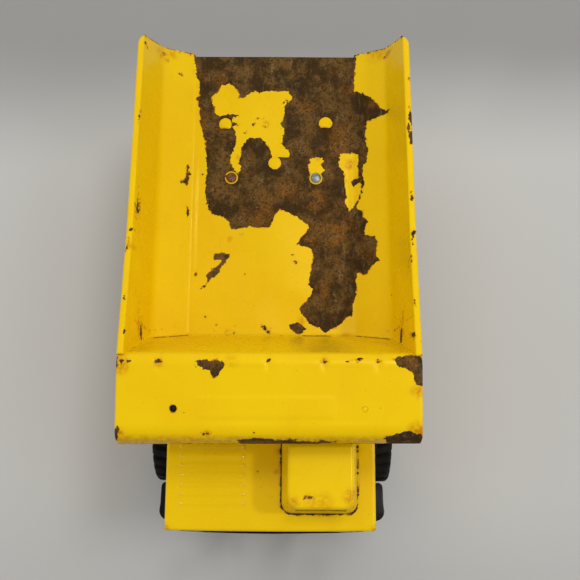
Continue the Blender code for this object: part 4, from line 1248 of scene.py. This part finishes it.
def build_cab(paint, back):
    low, high = (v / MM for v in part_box("cab_shell"))
    turn, side = 8, 16
    rings = []
    for k in range(15):
        share = k / 14
        x = [CAB_BASE_X[i] + (CAB_ROOF_X[i] - CAB_BASE_X[i]) * share for i in (0, 1)]
        y = [CAB_BASE_Y[i] + (CAB_ROOF_Y[i] - CAB_BASE_Y[i]) * share for i in (0, 1)]
        z = low.z + (high.z - CAB_EDGE - low.z) * share
        rings.append([(u, v, z) for u, v in rounded_rectangle(x, y, CAB_CORNER, turn, side)])
    for k in range(1, 7):
        angle = math.radians(15 * k)
        inset = CAB_EDGE * (1 - math.cos(angle))
        x = (CAB_ROOF_X[0] + inset, CAB_ROOF_X[1] - inset)
        y = (CAB_ROOF_Y[0] + inset, CAB_ROOF_Y[1] - inset)
        z = high.z - CAB_EDGE * (1 - math.sin(angle))
        outline = rounded_rectangle(x, y, CAB_CORNER - inset, turn, side)
        rings.append([(u, v, z) for u, v in outline])
    middle = Vector((sum(CAB_ROOF_X) / 2, sum(CAB_ROOF_Y) / 2, high.z))
    crown = rings[-1]
    for k in range(1, 24):
        share = k / 24
        rings.append([tuple(Vector(p).lerp(middle, share)) for p in crown])
    bm = bmesh.new()
    loops = [[bm.verts.new(Vector(p) * MM) for p in ring] for ring in rings]
    for lower, upper in zip(loops, loops[1:]):
        for k in range(len(lower)):
            n = (k + 1) % len(lower)
            bm.faces.new((lower[k], lower[n], upper[n], upper[k]))
    tip = bm.verts.new(middle * MM)
    for k in range(len(loops[-1])):
        bm.faces.new((loops[-1][k], loops[-1][(k + 1) % len(loops[-1])], tip))
    cab = new_piece("cab_stamping", bm, [paint, back], closed=False)
    points = coordinates(cab)
    from_x = points[:, 0] - ROOF_CREASE[0]
    from_y = points[:, 1] - ROOF_CREASE[1] + 0.02 * from_x**2
    crease = np.exp(-((from_y / 1.6) ** 2)) * np.exp(-((from_x / 7) ** 2))
    points[:, 2] -= 0.8 * crease * (points[:, 2] > high.z - 0.5)
    move_points(cab, points)
    thicken(cab, SHEET)
    front_y = CAB_BASE_Y[0]
    window = rounded_block("window", WINDSHIELD_X, WINDSHIELD_Z, 3, front_y - 10, front_y + 12, back)
    cut(cab, window)
    height = coordinates(cab)[:, 2]
    chips = chip_distance(plan_of(cab), spots=CAB_SPOTS)
    ragged = np.full(len(height), 0.4)
    wear(cab, chips, height - low.z - 1.5, CAB_STAINS, ragged=ragged)
    stand_for(cab, "cab_shell", "chassis")


# ---------------------------------------------------------------- front end


def build_rib_ends(gloss):
    """The ribs end in small smooth domes, which glint."""
    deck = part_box("hood_shell")[1].z / MM
    for k in range(RIB_COUNT):
        for x, hand in ((RIB_X[1] - 2, "left"), (RIB_X[0] + 2, "right")):
            center = (x, RIB_FIRST_Y - k * RIB_PITCH, deck + 0.6 * RIB_RISE)
            dome = turned(f"rib_end_{hand}_{k}", RIB_DOME, 32, [gloss], "Z", center)
            mount(dome, "chassis")


def build_lamps(glass, steel):
    """Ribbed lenses in plated rings."""
    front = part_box("headlight_left")[0].y / MM

    def ribs(angle, radius, station):
        across = radius * math.cos(angle)
        rise = 0.16 * math.cos(math.tau * across / LENS_RIB)
        return radius, station + (rise if station < front + 2 else 0)

    profile = [(0, front + 0.2)]
    for k in range(1, 10):
        profile.append((LENS_R * k / 9, front + 0.2 + 0.9 * (k / 9) ** 2))
    profile += [(LENS_R, front + 5), (0, front + 5)]
    for side, hand in ((1, "left"), (-1, "right")):
        center = (side * LAMP_X, 0, LAMP_Z)
        lens = turned(f"lamp_lens_{hand}", profile, 72, [glass], "Y", center, 50, ribs)
        stand_for(lens, f"headlight_{hand}", "chassis")
        ring = [(9.2, front + 1.2), (9.7, front + 0.5), (10.4, front + 0.5), (11.1, front + 1.3)]
        ring += [(11.1, front + 4.5), (9.2, front + 4.5)]
        bezel = turned(f"lamp_ring_{hand}", ring, 72, [steel], "Y", center)
        mount(bezel, "chassis")


def build_screws(steel):
    """Cross-slotted screws in the bumper."""
    for hand in ("left", "right"):
        low, high = (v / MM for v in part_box(f"bumper_screw_{hand}"))
        center = ((low.x + high.x) / 2, 0, (low.z + high.z) / 2)
        seat = low.y + 2.4
        dome = [(0, 0), (1.6, 0.1), (2.9, 0.4), (4.0, 1.1), (4.5, 1.9)]
        profile = [(radius, low.y + depth) for radius, depth in dome]
        profile += [(4.5, seat), (2, seat), (2, high.y), (0, high.y)]
        screw = turned(f"bumper_screw_head_{hand}", profile, 48, [steel], "Y", center)
        slots = []
        for k, half in enumerate(((2.6, 0.55), (0.55, 2.6))):
            x = (center[0] - half[0], center[0] + half[0])
            z = (center[2] - half[1], center[2] + half[1])
            slots.append(rounded_block(f"slot_{k}", x, z, 0.2, low.y - 2, low.y + 1.1, steel))
        cut(screw, *slots)
        stand_for(screw, f"bumper_screw_{hand}", "chassis")


# ---------------------------------------------------------------- wheels


def tyre_profile():
    """Bead, side wall with a raised ring, shoulder and tread, as (radius, station)."""
    half = [(BEAD_R, 15.0), (34.5, 16.6), (36.5, 17.2), (38.0, 17.2), (38.6, 17.9), (41.0, 18.0)]
    half += [(41.6, 17.3), (45.0, 17.5), (49.0, 17.9), (52.0, 18.0), (53.5, 18.0)]
    for k in range(1, 5):
        angle = math.radians(90 * k / 4)
        radius = TYRE_R - SHOULDER_R + SHOULDER_R * math.sin(angle)
        half.append((radius, TYRE_HALF - SHOULDER_R + SHOULDER_R * math.cos(angle)))
    half += [(TYRE_R, x) for x in (11.5, 9.0, 6.5, 4.0, 2.0)]
    middle = [(TYRE_R, 0.0)]
    return [(r, -x) for r, x in half] + middle + list(reversed(half))


def lug_wave(angle, radius, station):
    """Cuts slanting grooves into the tread and over its shoulders."""
    if radius < TREAD_FROM_R:
        return radius, station
    side = 1 if station >= 0 else -1
    phase = (angle / math.tau * LUGS + 0.22 * side + 0.35 * abs(station) / TYRE_HALF) % 1.0
    groove = min(clamped(phase / LUG_WALL), clamped((LUG_GROOVE - phase) / LUG_WALL))
    spread = clamped((abs(station) - 2.0) / 2.0)
    reach = clamped((radius - TREAD_FROM_R) / 4.0)
    return radius - LUG_DEPTH * groove * spread * reach, station


def hub_wave(side):
    """Presses six windows' worth of dishes and six nut bumps into the outer face of the web."""

    def wave(angle, radius, station):
        out = side * station
        if 9 < radius < 27 and 3 < out < 9:
            lobe = 0.5 + 0.5 * math.cos(6 * angle)
            ring = math.exp(-(((radius - 21) / 3.2) ** 2))
            out -= 1.6 * lobe**2 * ring
            nut = max(0.0, math.cos(6 * angle + math.pi)) ** 6
            out += 1.1 * nut * math.exp(-(((radius - 14) / 1.8) ** 2))
        return radius, side * out

    return wave


def hub_profile(boss_out):
    rim = BEAD_R - 0.3
    web = [(rim - 4.5 - 22 * k / 16, 7.0 - 2.0 * k / 16) for k in range(16)]
    outer = [(BORE_R, boss_out), (6.4, boss_out), (7.0, boss_out - 0.6), (7.0, 5.3)]
    rim_out = [(rim - 3.6, 7.6), (rim - 2.6, 9.5), (rim - 2.3, 13.4), (rim - 1.7, 14.0), (rim, 13.8)]
    back = [(rim, -14), (rim - 3, -14), (rim - 3, 3.6), (rim - 4, 4.0)]
    back += [(7.0, 2.0), (7.0, -18), (BORE_R, -18)]
    return outer + list(reversed(web)) + rim_out + back


def build_wheels(rubber, plastic):
    tread = (tyre_profile(), LUGS * 12, [rubber], "X")
    for place, x in WHEEL_X.items():
        boss = 19.7 if place == "rear_inner" else 9.0
        for side, hand in ((1, "left"), (-1, "right")):
            label = f"{place}_{hand}"
            center = (side * x, AXLE_Y[place], AXLE_Z)
            tyre = turned(f"treaded_{label}", *tread, center, 32, lug_wave)
            stand_for(tyre, f"tyre_{label}", f"wheel_{label}")
            profile = [(r, side * s) for r, s in hub_profile(boss)]
            hub = turned(f"dished_{label}", profile, 120, [plastic], "X", center, 32, hub_wave(side))
            stand_for(hub, f"hub_{label}", f"wheel_{label}")


def build_caps(steel):
    """Domed push-on caps with a turned lip."""
    for node in sorted(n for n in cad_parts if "_cap_" in n):
        low, high = (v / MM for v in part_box(node))
        middle = (low + high) / 2
        side = 1 if middle.x > 0 else -1
        outer = (high.y - low.y) / 2
        bore = outer - 2.44
        tip = high.x if side > 0 else low.x
        profile = [(0, 0.0), (outer * 0.35, -0.1), (outer * 0.62, -0.45), (outer * 0.85, -1.2)]
        profile += [(outer * 0.93, -2.0), (outer, -2.6), (outer, -5.6), (outer - 0.5, -6.2)]
        profile += [(bore, -6.2), (bore, -1.9), (0, -1.9)]
        profile = [(r, tip + side * s) for r, s in profile]
        cap = turned(f"domed_{node}", profile, 48, [steel], "X", (0, middle.y, middle.z))
        stand_for(cap, node, "chassis")


def build_refined(paint, black, steel, rubber, glass):
    """Plain CAD shapes with their edges rounded."""
    rows = (
        ("chassis_frame", "chassis_strip", "chassis", paint, "yellow_paint", 0.4),
        ("chassis_plate_left", "side_plate_left", "chassis", paint, "yellow_paint", 0.4),
        ("chassis_plate_right", "side_plate_right", "chassis", paint, "yellow_paint", 0.4),
        ("bed_hinge_bracket", "hinge_bracket", "dump_bed", paint, "yellow_paint", 0.4),
        ("bed_rest_bracket", "rest_bridge", "chassis", paint, "yellow_paint", 0.5),
        ("bed_rest_pad", "rest_strip", "chassis", rubber, "pad_rubber", 0.5),
        ("front_grille", "grille_bars", "chassis", black, "black_plastic", 0.5),
        ("front_bumper", "bumper_moulding", "chassis", black, "black_plastic", 1.6),
        ("cab_window", "windshield_pane", "chassis", glass, "clear_glazing", 0.3),
        ("front_axle", "front_shaft", "chassis", steel, "bright_steel", 0.5),
        ("rear_axle", "rear_shaft", "chassis", steel, "bright_steel", 0.5),
        ("pivot_rod", "pivot_shaft", "chassis", steel, "bright_steel", 0.5),
        ("front_axle_spacer_left", "spacer_tube_left", "chassis", steel, "bright_steel", 0.3),
        ("front_axle_spacer_right", "spacer_tube_right", "chassis", steel, "bright_steel", 0.3),
    )
    for node, name, body, material, slot, width in rows:
        stand_for(refined(node, name, material, width), node, body)


# ---------------------------------------------------------------- studio


def area_light(name, toward, size, watts, color):
    data = bpy.data.lights.new(name, "AREA")
    data.shape = "DISK"
    data.size = size
    data.energy = watts
    data.color = color
    obj = bpy.data.objects.new(name, data)
    bpy.context.scene.collection.objects.link(obj)
    direction = Vector(toward).normalized()
    obj.location = Vector(LIGHT_TARGET) + direction * LIGHT_DISTANCE
    obj.rotation_euler = direction.to_track_quat("Z", "Y").to_euler()
    return obj


def excluded(name, objects):
    """A collection for light linking that leaves these objects out."""
    collection = bpy.data.collections.new(name)
    for obj in objects:
        collection.objects.link(obj)
    for item in collection.collection_objects:
        item.light_linking.link_state = "EXCLUDE"
    return collection


def keep_off(light, obj):
    """Keeps a light off an object, as a flag on a studio stand does."""
    light.light_linking.receiver_collection = excluded(light.name + "_receivers", [obj])


def let_past(light, names):
    """Takes pieces out of a light's shadow."""
    pieces = [bpy.data.objects[name] for name in names]
    light.light_linking.blocker_collection = excluded(light.name + "_blockers", pieces)


def build_room():
    world = bpy.data.worlds.new("studio")
    room = Nodes(world)
    split = room.node("SeparateXYZ")
    room.fill(split.inputs[0], room.node("TexCoord").outputs["Generated"])
    level = room.ramp(split.outputs["Y"], *ROOM_DARK_Y, ROOM_DARK_SHARE, 1.0)
    background = room.tree.nodes["Background"]
    room.fill(background.inputs["Color"], room.mix(level, (0, 0, 0), ROOM))
    background.inputs["Strength"].default_value = ROOM_STRENGTH
    bpy.context.scene.world = world


def build_studio():
    """The floor, the room and the lights. The floor is lit by the room and by the top light,
    which is returned."""
    bm = bmesh.new()
    bmesh.ops.create_grid(bm, x_segments=8, y_segments=8, size=2.5)
    floor = new_piece("studio_floor", bm, [floor_cloth()], closed=False)
    build_room()
    key = area_light(*KEY)
    top = area_light(*TOP)
    keep_off(key, floor)
    for row in (RIGHT_FILL, LEFT_FILL):
        fill = area_light(*row)
        keep_off(fill, floor)
        fill.visible_glossy = False
    return top


def build_camera():
    data = bpy.data.cameras.new("camera")
    data.lens = CAMERA_LENS
    data.sensor_width = 36
    camera = bpy.data.objects.new("camera", data)
    camera.location = CAMERA_PLACE
    camera.rotation_euler = (math.radians(CAMERA_TILT), 0, math.radians(CAMERA_ROLL))
    bpy.context.scene.collection.objects.link(camera)
    bpy.context.scene.camera = camera


def main():
    build_camera()
    top = build_studio()
    bpy.context.scene.view_settings.view_transform = "Standard"
    paint = painted_steel("chipped_paint")
    back = painted_steel("plain_paint", chipped=False, worn=0.3)
    black = black_plastic()
    steel = bright_steel("bright_steel", 0.15)
    rusty = bright_steel("rusty_steel", 1.0)
    rubber = tyre_rubber()
    build_bed(paint, back)
    build_canopy(paint, back)
    build_fasteners(steel, rusty, back, black)
    build_hood(paint, back)
    build_cab(paint, back)
    build_rib_ends(gloss_paint())
    build_lamps(lamp_glass(), steel)
    build_screws(steel)
    build_wheels(rubber, hub_plastic())
    build_caps(steel)
    build_refined(back, black, steel, pad_rubber(), glazing())
    let_past(top, NO_TOP_SHADOW)


main()
